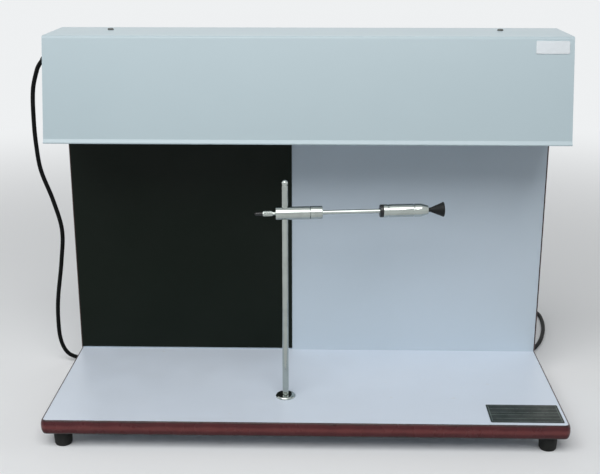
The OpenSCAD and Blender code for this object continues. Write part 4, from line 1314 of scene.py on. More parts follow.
@dataclass(frozen=True)
class PanScrew:
    """A pan head screw with a cross recess, its seat at its own origin and its head along Z.

    Attributes:
        nut: Width over corners, lower and upper level of a hexagon nut, if there is one.
    """

    name: str
    shank_d: float
    shank_l: float
    head_d: float
    head_h: float
    nut: tuple[float, ...] = ()
    point: tuple[float, float] = (1.2, 0.6)
    cross: float = 0.56
    slot: float = 0.12

    def build(self) -> Piece:
        """Builds the screw in its own frame.

        Returns:
            The new piece, without a finish.
        """
        r, s, high, low = self.head_d / 2, self.shank_d / 2, self.head_h, -self.shank_l
        profile = [
            (low, 0), (low, s - self.point[1]), (low + self.point[0], s), (0, s), (0, r, 0.2),
            (high * 0.95, r * 0.93, high * 0.7), (high, r * 0.3), (high, 0),
        ]
        shape = Shape(shifted=False).turned(rounded(profile, 4), Axis.UPRIGHT, 32)
        if self.nut:
            corners, start, stop = self.nut
            hexagon = arc((0, 0), corners / 2, 0, 300, 5)
            shape.extruded(hexagon, (0, 0, start), (0, 0, stop - start))
        arm, half = r * self.cross, r * self.slot
        cross = [(-arm, -half), (-half, -half), (-half, -arm)]
        cross += [(-x, y) for x, y in reversed(cross)]
        cross += [(-x, -y) for x, y in cross]
        recess = Shape(shifted=False).extruded(cross, (0, 0, high / 2), (0, 0, high))
        return carved(shape.build(self.name), [recess.build(self.name + "_recess")])


# Sub-assemblies


@dataclass
class Boards:
    """Base board, upright board and black facing, their edging and the rating plate."""

    width: float = 660.0
    depth: float = 251.0
    thick: float = 18.0
    foot_h: float = 22.0
    corner_r: float = 5.0
    proud: float = 3.0
    lip: float = 0.5
    nose_power: float = 0.85
    nose_turn: float = 84.0
    top: float = 501.5
    plate: tuple[float, float, float] = (92.0, 49.0, 0.6)
    plate_r: float = 2.0
    plate_side: float = 3.8
    plate_front: float = 7.0
    plate_edge: float = 0.15

    @property
    def base_top(self) -> float:
        """Height of the base board's upper face."""
        return self.foot_h + self.thick

    def _section(self) -> list[Vector]:
        """The edging's domed outline: X outwards from the board's edge, Y up.

        Returns:
            The closed outline.
        """
        half = self.thick / 2 + self.lip
        dome = arc((0, 0), 1.0, -self.nose_turn, self.nose_turn, 20)
        nose = [Vector((SEAT + self.proud * p.x**self.nose_power, half * p.y)) for p in dome]
        low = [Vector((SEAT, 0.2 - half)), Vector((SEAT + 0.1, -half))]
        return low + nose + [Vector((p.x, -p.y)) for p in reversed(low)]

    def base_edging(self) -> None:
        """The strip round the base board's two sides and front."""
        half, r, z = self.width / 2, self.corner_r, self.foot_h + self.thick / 2
        path = [Vector((-half, self.depth)), *arc((r - half, r), r, 180, 270, 8)]
        path += [*arc((half - r, r), r, 270, 360, 8), Vector((half, self.depth))]
        line = polyline("edging_path", [to_row((p.x, p.y, z)) for p in path], False)
        outline = [Vector((p.x, p.y, 0)) * METRE for p in self._section()]
        section = polyline("edging_section", outline, True)
        piece = formed(strip_tree(), line, "edging_of_base", VINYL, Section=section)
        bpy.data.objects.remove(section)
        adopt(piece, Body.CABINET, Slot.MAROON, "base_edging")

    def upright_edging(self) -> None:
        """The two strips on the upright board's sides."""
        low = self.base_top + self.lip + SEAT
        shape = Shape()
        for side in (-1, 1):
            foot = (side * self.width / 2, self.depth - self.thick / 2, low)
            shape.extruded(self._section(), foot, (0, 0, self.top - low), (side, 0, 0))
        piece = shape.build("edging_of_upright", VINYL_UPRIGHT)
        adopt(piece, Body.CABINET, Slot.MAROON, "upright_edging")

    def rating_plate(self) -> None:
        """The plate on the base board, with a border and plain rules only."""
        w, d, t = self.plate
        x = self.width / 2 - self.plate_side - w / 2
        middle = (x, self.plate_front + d / 2, self.base_top + SEAT)
        finish = RuledPlate("rating_plate_print", Stand(middle), (w, d))
        shape = Shape().extruded(rectangle(w, d, self.plate_r), middle, (0, 0, t))
        piece = eased(shape.build("rating_plate_face", finish), self.plate_edge)
        adopt(piece, Body.CABINET, Slot.PLATE, "rating_plate")

    def make(self) -> None:
        """Builds and dresses the boards."""
        dress(WHITE, "base_board")
        dress(WHITE_UPRIGHT_PAINTED_SHADE, "upright_board")
        dress(BLACK, "black_sheet")
        dress(ZINC, "board_screws")
        self.base_edging()
        self.upright_edging()
        self.rating_plate()


@dataclass
class Feet:
    """Four turned rubber feet."""

    diameter: float = 24.0
    height: float = 22.0
    recess_d: float = 11.0
    recess: float = 9.0
    hole_d: float = 4.4
    reach: float = 309.0
    rows: tuple[float, float] = (17.0, 234.0)

    def make(self) -> None:
        """Builds and dresses the feet."""
        r, wide, hole = self.diameter / 2, self.recess_d / 2, self.hole_d / 2
        top = self.height - SEAT
        profile = [
            (0, wide, 0.5), (0, r - 2.0, 1.0), (2.4, r - 0.9, 1.2), (top, r, 0.7), (top, hole),
            (self.recess, hole), (self.recess, wide, 0.5),
        ]
        part = Shape(shifted=False).turned(rounded(profile, 4), Axis.UPRIGHT, 56).build("foot")
        spots = [((x, y, 0), UP) for x in (-self.reach, self.reach) for y in self.rows]
        adopt(set_on("feet", part, spots, RUBBER, 3), Body.CABINET, Slot.RUBBER, "rubber_feet")
        dress(ZINC, "foot_screws")


@dataclass
class Hood:
    """The folded steel hood, its badge and its screws."""

    half: float = 334.5
    low: float = 370.5
    high: float = 503.0
    front: float = 114.0
    lean: float = 29.0
    rear: float = 252.8
    steel: float = 1.2
    flange: float = 13.0
    rear_flange: float = 45.0
    bend: float = 4.0
    hem: float = 2.0
    fold: float = 1.5
    fold_h: float = 5.5
    badge: tuple[float, float, float] = (42.0, 16.0, 0.6)
    badge_r: float = 1.5
    badge_side: float = 27.0
    badge_drop: float = 13.0
    badge_edge: float = 0.18
    edge: float = 0.25
    top_screw: PanScrew = PanScrew("top_screw", 4.0, 12.0, 8.0, 2.2, (8.1, -6.3, -3.1))
    top_screw_x: tuple[float, float] = (-261.0, 253.0)
    top_screw_y: float = 215.0
    rear_screw: PanScrew = PanScrew("rear_screw", 3.5, 16.0, 7.0, 2.1)
    rear_screws: int = 5
    rear_reach: float = 290.0

    @property
    def angle(self) -> float:
        """How far the front leans back, in radians."""
        return math.atan2(self.lean, self.high - self.low)

    def shell(self) -> None:
        """The bent sheet: lower flange, front, top and rear flange."""
        t, slant, skew = self.steel, math.tan(self.angle), 1 / math.cos(self.angle)
        low, high, front, rear, fold, tuck = (
            self.low, self.high, self.front, self.rear, self.front - self.fold, self.fold_h
        )
        flange, crest, end = front + self.flange, front + self.lean, high - self.rear_flange
        outline = [
            (flange, low), (fold, low, 0.8), (fold, low + 1.6, 1.0),
            (front + tuck * slant, low + tuck, 3.0), (crest, high, self.bend),
            (rear, high, self.hem), (rear, end), (rear - t, end),
            (rear - t, high - t, self.hem - t),
            (crest + t * (skew - slant), high - t, self.bend - t),
            (front + t * (skew + slant), low + t, self.hem - t), (flange, low + t),
        ]
        shape = Shape().extruded(
            rounded(outline, 6), (-self.half, 0, 0), (2 * self.half, 0, 0), BACK, UP
        )
        piece = eased(shape.build("hood_sheet", PAINT), self.edge)
        adopt(piece, Body.CABINET, Slot.STEEL, "hood_shell")

    def badge_plate(self) -> None:
        """The bare badge, flat on the sloping front."""
        w, h, t = self.badge
        z = self.high - self.badge_drop
        foot = (self.half - self.badge_side, self.front + (z - self.low) * math.tan(self.angle), z)
        out = Vector((0, -math.cos(self.angle), math.sin(self.angle)))
        up = Vector((0, math.sin(self.angle), math.cos(self.angle)))
        start = Vector(foot) + out * SEAT
        finish = Plating(
            "badge_metal", (0.50, 0.53, 0.55), Stand(foot), (0.3, 0.45), Grain.DRAWN, 0.006
        )
        shape = Shape().extruded(rectangle(w, h, self.badge_r), start, out * t, RIGHT, up)
        piece = eased(shape.build("badge_plate", finish), self.badge_edge)
        adopt(piece, Body.CABINET, Slot.BADGE, "hood_badge")

    def screws(self) -> None:
        """The screws in the top, with their nuts, and in the rear flange."""
        spots = [((x, self.top_screw_y, self.high + SEAT), UP) for x in self.top_screw_x]
        piece = set_on("top_screws", self.top_screw.build(), spots, DULL_STEEL, 5)
        adopt(piece, Body.CABINET, Slot.ZINC, "hood_top_screws")
        step = 2 * self.rear_reach / (self.rear_screws - 1)
        level = self.high - self.rear_flange / 2
        columns = [i * step - self.rear_reach for i in range(self.rear_screws)]
        spots = [((x, self.rear + SEAT, level), BACK) for x in columns]
        piece = set_on("rear_screws", self.rear_screw.build(), spots, ZINC, 8)
        adopt(piece, Body.CABINET, Slot.ZINC, "hood_rear_screws")

    def make(self) -> None:
        """Builds and dresses the hood."""
        dress(PAINT, "hood_end_left", "hood_end_right")
        self.shell()
        self.badge_plate()
        self.screws()


@dataclass
class Gear:
    """The lamps and their gear inside the hood."""

    lamp_half: float = 295.0

    def make(self) -> None:
        """Dresses the lamps and their gear."""
        dress(PAINT, "gear_tray")
        dress(ZINC, "tray_brackets", "gear_screws")
        dress(HOLDER_PLASTIC, "lampholders", "starter_sockets", "terminal_block")
        dress(VARNISH, "chokes")
        dress(CAN, "starters")
        dress(MilkGlass("lamp_glass", self.lamp_half), "front_lamp", "rear_lamp")
        dress(CAP_METAL, "front_lamp_caps", "rear_lamp_caps")


@dataclass
class Switch:
    """The rocker switch in the hood's right end."""

    face_x: float = 334.6
    middle: tuple[float, float] = (193.0, 465.5)
    bezel: tuple[float, float, float] = (15.0, 21.0, 1.8)
    bezel_r: float = 1.6
    case: tuple[float, float, float] = (12.8, 19.0, 16.0)
    tabs: tuple[float, ...] = (-6.0, 0.0, 6.0)
    tab: tuple[float, float, float] = (8.0, 2.4, 0.4)
    wall: float = 1.1
    cavity: tuple[float, float] = (7.0, 9.0)
    pivot_x: float = 335.0
    rocker_w: float = 10.0
    rocker_h: float = 16.2
    tilt: float = 10.0
    pin_d: float = 2.2
    pin_end: float = 0.8
    bezel_edge: float = 0.3
    rocker_edge: float = 0.25

    def _hollowed(self, shape: Shape, name: str) -> Piece:
        """Builds a shape with the rocker's cavity cut out of it.

        Args:
            shape: The shape.
            name: The new piece's name.

        Returns:
            The new piece.
        """
        (y, z), (w, h, _) = self.middle, self.case
        y_half, z_half = w / 2 - self.wall, h / 2 - self.wall
        hollow = Shape().block(
            (self.pivot_x - self.cavity[0], y - y_half, z - z_half),
            (self.pivot_x + self.cavity[1], y + y_half, z + z_half),
        )
        return carved(shape.build(name, BAKELITE), [hollow.build(name + "_hollow")])

    def bezel_piece(self) -> None:
        """The bezel round the rocker."""
        w, h, t = self.bezel
        start = (self.face_x, *self.middle)
        shape = Shape().extruded(rectangle(w, h, self.bezel_r), start, (t, 0, 0), BACK, UP)
        piece = eased(self._hollowed(shape, "switch_bezel"), self.bezel_edge)
        adopt(piece, Body.CABINET, Slot.SWITCH, "switch_case")

    def case_piece(self) -> None:
        """The case behind the bezel, with its three tabs."""
        (y, z), (w, h, depth), (reach, wide, half) = self.middle, self.case, self.tab
        back = self.face_x - SEAT - depth
        shape = Shape().block((back, y - w / 2, z - h / 2), (self.face_x, y + w / 2, z + h / 2))
        for level in (z + tab for tab in self.tabs):
            shape.block((back - reach, y - wide, level - half), (back + 1, y + wide, level + half))
        piece = self._hollowed(shape, "switch_body")
        adopt(piece, Body.CABINET, Slot.SWITCH, "switch_case")

    def rocker_piece(self) -> None:
        """The rocker with its dished face and its pivot pin."""
        half, reach = self.rocker_h / 2, self.rocker_w / 2
        outline = [
            (-3.4, 0.9 - half), (-1.2, 0.1 - half), (1.2, 0.1 - half), (2.8, 0.5 - half, 0.5),
            (1.6, 0, 14.0), (2.8, half - 0.5, 0.5), (1.2, half - 0.1), (-1.2, half - 0.1),
            (-3.4, half - 0.9),
        ]
        shape = Shape(Stand((self.pivot_x, *self.middle), (0.0, -self.tilt, 0.0)).matrix())
        pin = arc((0, 0), self.pin_d / 2, 0, 345, 23)
        for section, end in ((rounded(outline, 8), reach), (pin, reach + self.pin_end)):
            shape.extruded(section, (0, -end, 0), (0, 2 * end, 0), RIGHT, UP)
        piece = eased(shape.build("rocker_key", BAKELITE), self.rocker_edge)
        adopt(piece, Body.ROCKER, Slot.SWITCH, "switch_rocker")

    def make(self) -> None:
        """Builds and dresses the switch."""
        self.bezel_piece()
        self.case_piece()
        self.rocker_piece()


@dataclass
class Standard:
    """The post and the bush in which it turns."""

    radius: float = 4.0
    journal_r: float = 2.6
    low: float = 10.4
    clip: tuple[float, float] = (12.7, 13.9)
    shoulder: float = 43.4
    tip: float = 334.0
    dome: float = 2.4
    groove: tuple[float, float] = (327.0, 328.2)
    groove_t: float = 0.5
    flange_r: float = 13.0
    flange: tuple[float, float] = (40.1, 43.1)
    barrel_r: float = 7.0
    barrel_low: float = 14.1
    bore_r: float = 2.66

    def _turned(self, name: str, profile: Sequence[Point]) -> Piece:
        """Turns a profile about the post's axis."""
        return lathed(name, Stand(POST_FOOT), profile, CHROME_POST, Axis.UPRIGHT, 5)

    def post_piece(self) -> None:
        """The post: journal, shank, groove and domed tip."""
        r, j, start, stop = self.radius, self.journal_r, *self.clip
        bottom, low, high = r - self.groove_t, *self.groove
        dome_r = (r * r + self.dome**2) / (2 * self.dome)
        spread = math.degrees(math.asin(r / dome_r))
        piece = self._turned("post_bar", [
            (self.low, 0), (self.low, j, 0.4), (start, j), (start, j - 0.6), (stop, j - 0.6),
            (stop, j), (self.shoulder, j), (self.shoulder, r, 0.4), (low, r, 0.15), (low, bottom),
            (high, bottom), (high, r, 0.15), *arc((self.tip - dome_r, 0), dome_r, spread, 0, 10),
        ])
        adopt(piece, Body.STANDARD, Slot.CHROME, "post")

    def bush_piece(self) -> None:
        """The bush: barrel and rounded flange."""
        (low, high), r, barrel, foot = self.flange, self.flange_r, self.barrel_r, self.barrel_low
        piece = self._turned("bush", [
            (foot, self.bore_r), (foot, barrel, 0.6), (low, barrel), (low, r, 0.2),
            (high - 1.4, r, 0.5), (high, r - 1.6, 1.2), (high, self.bore_r, 0.3),
        ])
        adopt(piece, Body.CABINET, Slot.CHROME, "post_bush")

    def make(self) -> None:
        """Builds and dresses the standard."""
        dress(ZINC, "bush_washer", "bush_nut")
        dress(SPRING, "post_clip")
        self.post_piece()
        self.bush_piece()


@dataclass
class AmpouleHolder:
    """Boss, lock screw, nut, rod and chuck; distances run along the arm from the post's axis."""

    radius: float = 8.25
    boss: tuple[float, float] = (-11.8, 31.3)
    collet_r: float = 5.4
    nut: tuple[float, float] = (31.9, 47.1)
    hole_r: float = 4.06
    rod_r: float = 2.75
    rod_bore: float = 2.81
    rod: tuple[float, float] = (15.0, 164.9)
    ring_at: float = 159.9
    collar: tuple[float, float] = (120.1, 124.1)
    sleeve: tuple[float, float] = (124.4, 181.9)
    grooves: tuple[float, float] = (131.0, 163.9)
    groove_t: float = 0.6
    taper: float = 9.0
    nose_r: float = 5.5
    stem_r: float = 4.1
    cup_end: float = 202.0
    cup_r: float = 9.5
    lock_end: tuple[float, float] = (-4.3, 1.8)
    thread: tuple[float, float] = (-12.3, -5.0)
    thread_r: float = 2.5
    neck_r: float = 2.1
    stub_r: float = 1.6
    knurl: tuple[float, float] = (-27.8, -15.3)
    knurl_r: float = 3.2
    knurl_t: float = 0.35
    ridge: float = 0.36
    flutes: int = 18
    grip_l: float = 10.0
    bore_from: float = 6.5
    kerf: float = 0.5
    overrun: float = 9.0
    reach: float = 20.0

    def _turned(self, name: str, profile: Sequence[Point], finish: Finish = CHROME_ARM) -> Piece:
        """Turns a profile about the arm's axis."""
        return lathed(name, ARM, profile, finish)

    def boss_piece(self) -> None:
        """The boss with its hole for the post, its bore and its slotted collet."""
        (left, right), r, collet, bore, hole = (
            self.boss, self.radius, self.collet_r, self.rod_bore, self.hole_r
        )
        end, reach = self.nut[1] - 3, self.reach
        blank = self._turned("boss_bar", [
            (left, 0), (left, r, 0.7), (right, r, 0.7), (right, collet), (end - 1, collet),
            (end, collet - 1), (end, 0),
        ])
        shapes = [Shape(ARM.matrix()) for _ in range(4)]
        across = [(-reach, 0), (-reach, hole), (reach, hole), (reach, 0)]
        shapes[0].turned(across, Axis.UPRIGHT, 64)
        start, stop = self.bore_from, end + self.overrun
        shapes[1].turned([(start, 0), (start, bore), (stop, bore), (stop, 0)])
        for shape, (y, z) in zip(shapes[2:], ((self.kerf, reach), (reach, self.kerf))):
            shape.block((right + 2, -y, -z), (stop, y, z))
        piece = carved(blank, [shape.build(f"boss_cut_{i}") for i, shape in enumerate(shapes)])
        adopt(piece, Body.BOSS, Slot.CHROME, "cross_boss")

    def lock_piece(self) -> None:
        """The lock screw with its knurled head."""
        (low, high), r, ridge, (tip, tip_r) = self.knurl, self.knurl_r, self.ridge, self.lock_end
        (start, stop), thread, neck, stub = self.thread, self.thread_r, self.neck_r, self.stub_r
        core_r, end = r - self.knurl_t, low - self.grip_l + 3
        profile = [
            (tip, 0), (tip, tip_r), (stop, thread), (start, thread), (start - 0.4, neck),
            (high, neck), (high, r, 0.5), (high - 1, r), (high - 1.1, core_r), (low + 1.1, core_r),
            (low + 1, r), (low, r, 0.5), (low, stub), (end, stub), (end, 0),
        ]
        core = Shape(shifted=False).turned(rounded(profile, 4), segments=72).build("lock_core")
        piece = formed(
            knurl_tree(), core, "lock_bar", CHROME_ARM, Count=self.flutes,
            Radius=(r - ridge) * METRE, Ridge=ridge * METRE, Length=(high - low - 1.6) * METRE,
            Middle=Vector(((low + high) / 2, 0, 0)) * METRE,
        )
        piece.data.transform(ARM.in_row())
        adopt(piece, Body.LOCK, Slot.CHROME, "lock_screw")

    def grip_piece(self) -> None:
        """The dark grip on the lock screw's end."""
        high = self.knurl[0] - SEAT
        low = high - self.grip_l
        piece = self._turned("grip_sleeve", [
            (high, 1.7), (high, 2.3, 0.3), (low + 1.5, 2.1, 0.8), (low, 1.4, 0.8), (low, 0),
            (low + 2.7, 0), (low + 2.7, 1.7),
        ], BAKELITE)
        adopt(piece, Body.LOCK, Slot.GRIP, "lock_grip")

    def nut_piece(self) -> None:
        """The collet nut."""
        (start, end), r, wide, bore = self.nut, self.radius, self.collet_r + 0.06, self.rod_bore
        piece = self._turned("nut_ring", [
            (start, wide), (start, r, 0.7), (end, r, 0.7), (end, bore), (end - 2.5, bore),
            (end - 2.5, wide - 1), (end - 3.5, wide),
        ])
        adopt(piece, Body.NUT, Slot.CHROME, "collet_nut")

    def rod_piece(self) -> None:
        """The rod with the groove for its snap ring."""
        (start, end), r, low, high = self.rod, self.rod_r, self.ring_at - 0.1, self.ring_at + 1.3
        piece = self._turned("rod_bar", [
            (start, 0), (start, r, 0.5), (low, r), (low, r - 0.5), (high, r - 0.5), (high, r),
            (end, r, 0.5), (end, 0),
        ])
        adopt(piece, Body.ARM, Slot.CHROME, "arm_rod")

    def collar_piece(self) -> None:
        """The black collar behind the chuck."""
        (start, end), r, bore = self.collar, self.radius, self.rod_r + SEAT
        profile = [(start, bore), (start, r - 0.2, 1.0), (end, r, 0.3), (end, bore)]
        piece = self._turned("collar_ring", profile, BAKELITE)
        adopt(piece, Body.ARM, Slot.GRIP, "chuck_collar")

    def sleeve_piece(self) -> None:
        """The chuck sleeve with its two grooves and its taper."""
        (start, end), r, low = self.sleeve, self.radius, self.radius - self.groove_t
        profile: list[Point] = [(start, self.rod_bore), (start, r, 0.5)]
        for g in self.grooves:
            profile += [(g - 1.4, r, 0.25), (g - 0.5, low, 0.2)]
            profile += [(g + 0.5, low, 0.2), (g + 1.4, r, 0.25)]
        bore, shoulder = self.stem_r + SEAT, self.ring_at - 0.3
        piece = self._turned("sleeve_tube", [
            *profile, (end - self.taper, r, 1.0), (end, self.nose_r, 0.5), (end, bore),
            (shoulder, bore), (shoulder, self.rod_bore),
        ])
        adopt(piece, Body.CHUCK, Slot.CHROME, "chuck_sleeve")

    def cup_piece(self) -> None:
        """The rubber cup with its stem in the sleeve."""
        nose, end, r, stem = self.sleeve[1], self.cup_end, self.cup_r, self.stem_r
        piece = self._turned("cup", [
            (nose - 12, 0), (nose - 12, stem, 0.5), (nose - 0.6, stem, 0.3), (nose + 0.4, 3.0, 0.3),
            (nose + 3.6, 3.0, 2.0), (end - 1.6, r - 0.5, 0.8), (end - 0.9, r, 0.5),
            (end, r - 0.1, 0.5), (end, r - 1.6, 0.4), (end - 12.4, 2.0, 1.0), (end - 15, 2.0, 0.5),
            (end - 15, 0),
        ], CUP_RUBBER)
        adopt(piece, Body.CHUCK, Slot.CUP, "rubber_cup")

    def make(self) -> None:
        """Builds and dresses the holder."""
        self.boss_piece()
        self.lock_piece()
        self.grip_piece()
        self.nut_piece()
        self.rod_piece()
        self.collar_piece()
        self.sleeve_piece()
        self.cup_piece()
        dress(SPRING, "chuck_ring")


@dataclass
class MainsLead:
    """Gland, lead, coil, tie and plug. The lead's points are chosen one by one."""

    diameter: float = 6.0
    hood_half: float = 334.5
    gland: tuple[float, float] = (222.0, 471.5)
    flange: tuple[float, float] = (8.5, 3.0)
    barrel: tuple[float, float] = (6.0, 12.2)
    boot_bend: float = 24.0
    boot_turn: float = 50.0
    boot_wall: float = 0.8
    boot_end: float = 2.0
    boot_ribs: int = 9
    rib: float = 0.5
    coil_x: float = 285.0
    coil_edge: float = 508.0
    coil_r: float = 29.0
    coil_step: float = 6.6
    coil_turns: int = 2
    coil_z: float = 4.7
    rest_z: float = 3.1
    run_in: tuple[float, float, float] = (28.0, 12.0, 6.0)
    run_out: float = 6.0
    tail: float = 46.0
    tucked: float = 4.0
    tie: tuple[float, float, float] = (8.0, 1.0, 0.6)
    relief: float = 24.0
    relief_ribs: int = 6
    hang: tuple[Point, ...] = (
        (-365.5, 223, 449), (-373.5, 225, 421.5), (-376.5, 228, 379.5), (-376.5, 231, 343),
        (-373.5, 234, 307.5), (-360.5, 238, 263), (-352, 243, 217.5), (-357, 248, 170.5),
        (-368.5, 256, 105.5), (-372, 262, 65), (-371, 266.5, 36), (-363, 270.5, 15),
        (-348, 275, 5.5),
    )
    table: tuple[Point, ...] = (
        (-330, 280), (-295, 287.5), (-240, 294), (-170, 296), (-80, 291), (10, 286), (100, 284),
        (190, 287), (260, 295), (312, 307), (344, 322), (361, 347), (374, 380), (384, 420),
        (388.5, 460), (385.5, 487), (371, 503), (352, 508), (332, 508),
    )
    plug: tuple[tuple[float, float, float, float], ...] = (
        (24.8, 7.6, 7.4, 2.1), (26.4, 9.6, 8.8, 2.4), (30, 12.4, 10.0, 2.8), (36, 15.0, 10.9, 3.4),
        (44, 16.6, 11.1, 4.0), (52, 16.9, 11.1, 4.6), (60, 16.9, 11.1, 4.6),
        (61.4, 16.6, 10.8, 4.6), (62, 15.8, 10.0, 4.6),
    )

    @property
    def boot_dir(self) -> Vector:
        """The way the boot's end points."""
        turn = math.radians(self.boot_turn)
        return Vector((-math.cos(turn), 0, -math.sin(turn)))

    @property
    def boot_tip(self) -> Vector:
        """Where the lead leaves the boot."""
        return self.boot_point(self.boot_turn) + self.boot_end * self.boot_dir

    def boot_point(self, turn: float) -> Vector:
        """Finds a point on the boot's bent axis.

        Args:
            turn: How far the axis has turned there, in degrees.

        Returns:
            The point.
        """
        a, r, (y, z) = math.radians(turn), self.boot_bend, self.gland
        start = -self.hood_half - SEAT - self.flange[1]
        return Vector((start - r * math.sin(a), y, z - r * (1 - math.cos(a))))

    def _smooth(self, points: Sequence[Point], step: float = 3.0) -> list[Vector]:
        """Draws a cubic through points, with slopes from each point's neighbours.

        Args:
            points: The points.
            step: Distance between the drawn points.

        Returns:
            The drawn points, both ends included.
        """
        p = [Vector(q) for q in points]
        spans = [(b - a).length for a, b in zip(p, p[1:])]
        slopes = [(p[1] - p[0]).normalized()]
        slopes += [(p[i + 1] - p[i - 1]) / (spans[i] + spans[i - 1]) for i in range(1, len(p) - 1)]
        slopes.append((p[-1] - p[-2]).normalized())
        result = []
        for i, h in enumerate(spans):
            count = max(1, round(h / step))
            for t in (k / count for k in range(count)):
                start = (2 * t**3 - 3 * t * t + 1) * p[i] + (t**3 - 2 * t * t + t) * h * slopes[i]
                end = (3 * t * t - 2 * t**3) * p[i + 1] + (t**3 - t * t) * h * slopes[i + 1]
                result.append(start + end)
        return result + [p[-1]]

    def _coil(self, steps: int = 96) -> list[Vector]:
        """The coil: a turn inwards on the table, and one outwards on top of it.

        Args:
            steps: Points in each turn.

        Returns:
            The coil's points, without its two ends.
        """
        result = []
        half = self.coil_turns / 2
        y = self.coil_edge - self.coil_r - self.coil_step * half
        for i in range(1, steps * self.coil_turns):
            u = i / steps
            t = max(0.0, min(1.0, (u - half + 0.25) * 2))
            r, a = self.coil_r + self.coil_step * abs(u - half), math.radians(90 + 360 * u)
            z = self.coil_z + self.coil_step * t * t * (3 - 2 * t)
            result.append(Vector((self.coil_x + r * math.cos(a), y + r * math.sin(a), z)))
        return result

    def route(self) -> list[Vector]:
        """Lays out the whole lead, from inside the boot to the plug.

        Returns:
            The centreline.
        """
        edge, top, x = self.coil_edge, self.coil_z + self.coil_step, self.coil_x
        free = [self.boot_tip, self.boot_tip + self.diameter * self.boot_dir, *self.hang]
        free += [(at[0], at[1], self.rest_z) for at in self.table]
        free += [(x + d, edge, self.coil_z) for d in self.run_in]
        path = [self.boot_tip - self.tucked * self.boot_dir]
        path += [Vector((p.x, p.y, max(p.z, self.rest_z))) for p in self._smooth(free)]
        path += [Vector((x, edge, self.coil_z)), *self._coil(), Vector((x, edge, top))]
        x, run, t = x - self.run_out, self.run_out, self.tail
        end = [(x, edge, top), (x - run, edge, top), (x - t / 2, edge + 1, top - 0.6)]
        return path + self._smooth([*end, (x - t + run, edge, top), (x - t, edge, top)])

    def sheath(self, path: Sequence[Vector], sides: int = 20) -> Piece:
        """The lead as a tube, with its length and girth in metres on a UV map.

        Args:
            path: The centreline.
            sides: Number of faces round it.

        Returns:
            The new piece.
        """
        r, side = self.diameter / 2, Vector((0, 1, 0))
        points, along = [], [0.0]
        for i, here in enumerate(path):
            heading = (path[min(i + 1, len(path) - 1)] - path[max(i - 1, 0)]).normalized()
            side = (side - side.dot(heading) * heading).normalized()
            other = heading.cross(side)
            points += [to_row(here + p.x * side + p.y * other) for p in oval(r, r, 2.0, sides)]
            if i:
                along.append(along[-1] + (here - path[i - 1]).length * METRE)
        faces, marks = [], []
        part = FULL_TURN * r * METRE / sides
        for i in range(len(path) - 1):
            for k in range(sides):
                a, b, n = i * sides, (i + 1) * sides, (k + 1) % sides
                faces.append((a + k, a + n, b + n, b + k))
                low, high, (here, there) = part * k, part * (k + 1), along[i:i + 2]
                marks += [(here, low), (here, high), (there, high), (there, low)]
        last = (len(path) - 1) * sides
        faces += [tuple(reversed(range(sides))), tuple(range(last, last + sides))]
        marks += [(0.0, 0.0)] * (2 * sides)
        mesh = bpy.data.meshes.new("lead")
        mesh.from_pydata(points, [], faces)
        chart = mesh.uv_layers.new(name="UVMap")
        for loop, mark in zip(chart.data, marks):
            loop.uv = mark
        smoothed(mesh, 50.0)
        mesh.materials.append(material(SHEATH))
        return linked(mesh, "lead")

    def gland_piece(self) -> Piece:
        """The gland: barrel, round flange and ribbed, bent boot.

        Returns:
            The new piece.
        """
        face = -self.hood_half - SEAT
        (wide, thick), (r, depth), foot = self.flange, self.barrel, face - 1
        rim = face - thick - 0.2
        shape = Shape(Matrix.Translation((0, *self.gland)))
        shape.turned(rounded([
            (face, 0), (face, wide, 0.3), (rim + 0.8, wide - 0.2, 0.8), (rim, wide - 2.0, 0.8),
            (rim, 0),
        ], 4))
        shape.turned([(foot, 0), (foot, r), (foot + depth, r), (foot + depth, 0)])
        shape.place = Matrix.Identity(4)
        sections, steps, tip_r = [], 72, self.diameter / 2 + self.boot_wall
        for t in (i / steps for i in range(steps + 1)):
            valley = math.sin(math.pi * self.boot_ribs * t) ** 2 if 0.08 < t < 0.92 else 0.0
            girth = r + (tip_r - r) * t - self.rib * valley
            a, centre = math.radians(self.boot_turn * t), self.boot_point(self.boot_turn * t)
            other = Vector((math.sin(a), 0, -math.cos(a)))
            ring = oval(girth, girth, 2.0, 32)
            sections.append([centre + p.x * Vector(BACK) + p.y * other for p in ring])
        sections.append([p + self.boot_end * self.boot_dir for p in sections[-1]])
        return shape.lofted(sections).build("gland_boot", CABLE_PLASTIC, 50.0)

    def tie_piece(self) -> Piece:
        """The strap round both layers of the coil, with its head.

        Returns:
            The new piece.
        """
        (w, t, gap), x, top = self.tie, self.coil_x, self.coil_z + self.coil_step
        inner = self.diameter / 2 + gap
        y = self.coil_edge - 2 * self.coil_r - self.coil_step * (self.coil_turns + 1) / 2
        inside, outside = (
            arc((y, self.coil_z), r, 180, 360, 20) + arc((y, top), r, 0, 180, 20)
            for r in (inner, inner + t)
        )
        edges = ((-w / 2, outside), (w / 2, outside), (w / 2, inside), (-w / 2, inside))
        shape = Shape().skinned([[Vector((x + s, p.x, p.y)) for p in ring] for s, ring in edges])
        half, head = w / 2 + 0.6, y + inner
        shape.block((x - half, head + 0.3, top - 4.5), (x + half, head + 3.4, top + 0.5))
        return eased(shape.build("tie_strap", CABLE_PLASTIC), 0.25)

    def plug_piece(self) -> Piece:
        """The moulded plug: ribbed relief, waist and body.

        Returns:
            The new piece.
        """
        x, y = self.coil_x - self.run_out - self.tail, self.coil_edge
        z = self.coil_z + self.coil_step
        sections, steps = [], 36
        for t in (i / steps for i in range(steps + 1)):
            valley = max(0.0, math.sin(FULL_TURN * self.relief_ribs * t)) ** 2
            r = 4.2 + 2.6 * t - self.rib * valley
            sections.append((self.relief * t, r, r, 2.0))
        rings = [
            [Vector((x - d, y + p.x, z + p.y)) for p in oval(half_w, half_h, power, 56)]
            for d, half_w, half_h, power in (*sections, *self.plug)
        ]
        return Shape().lofted(rings).build("plug_body", CABLE_PLASTIC, 40.0)

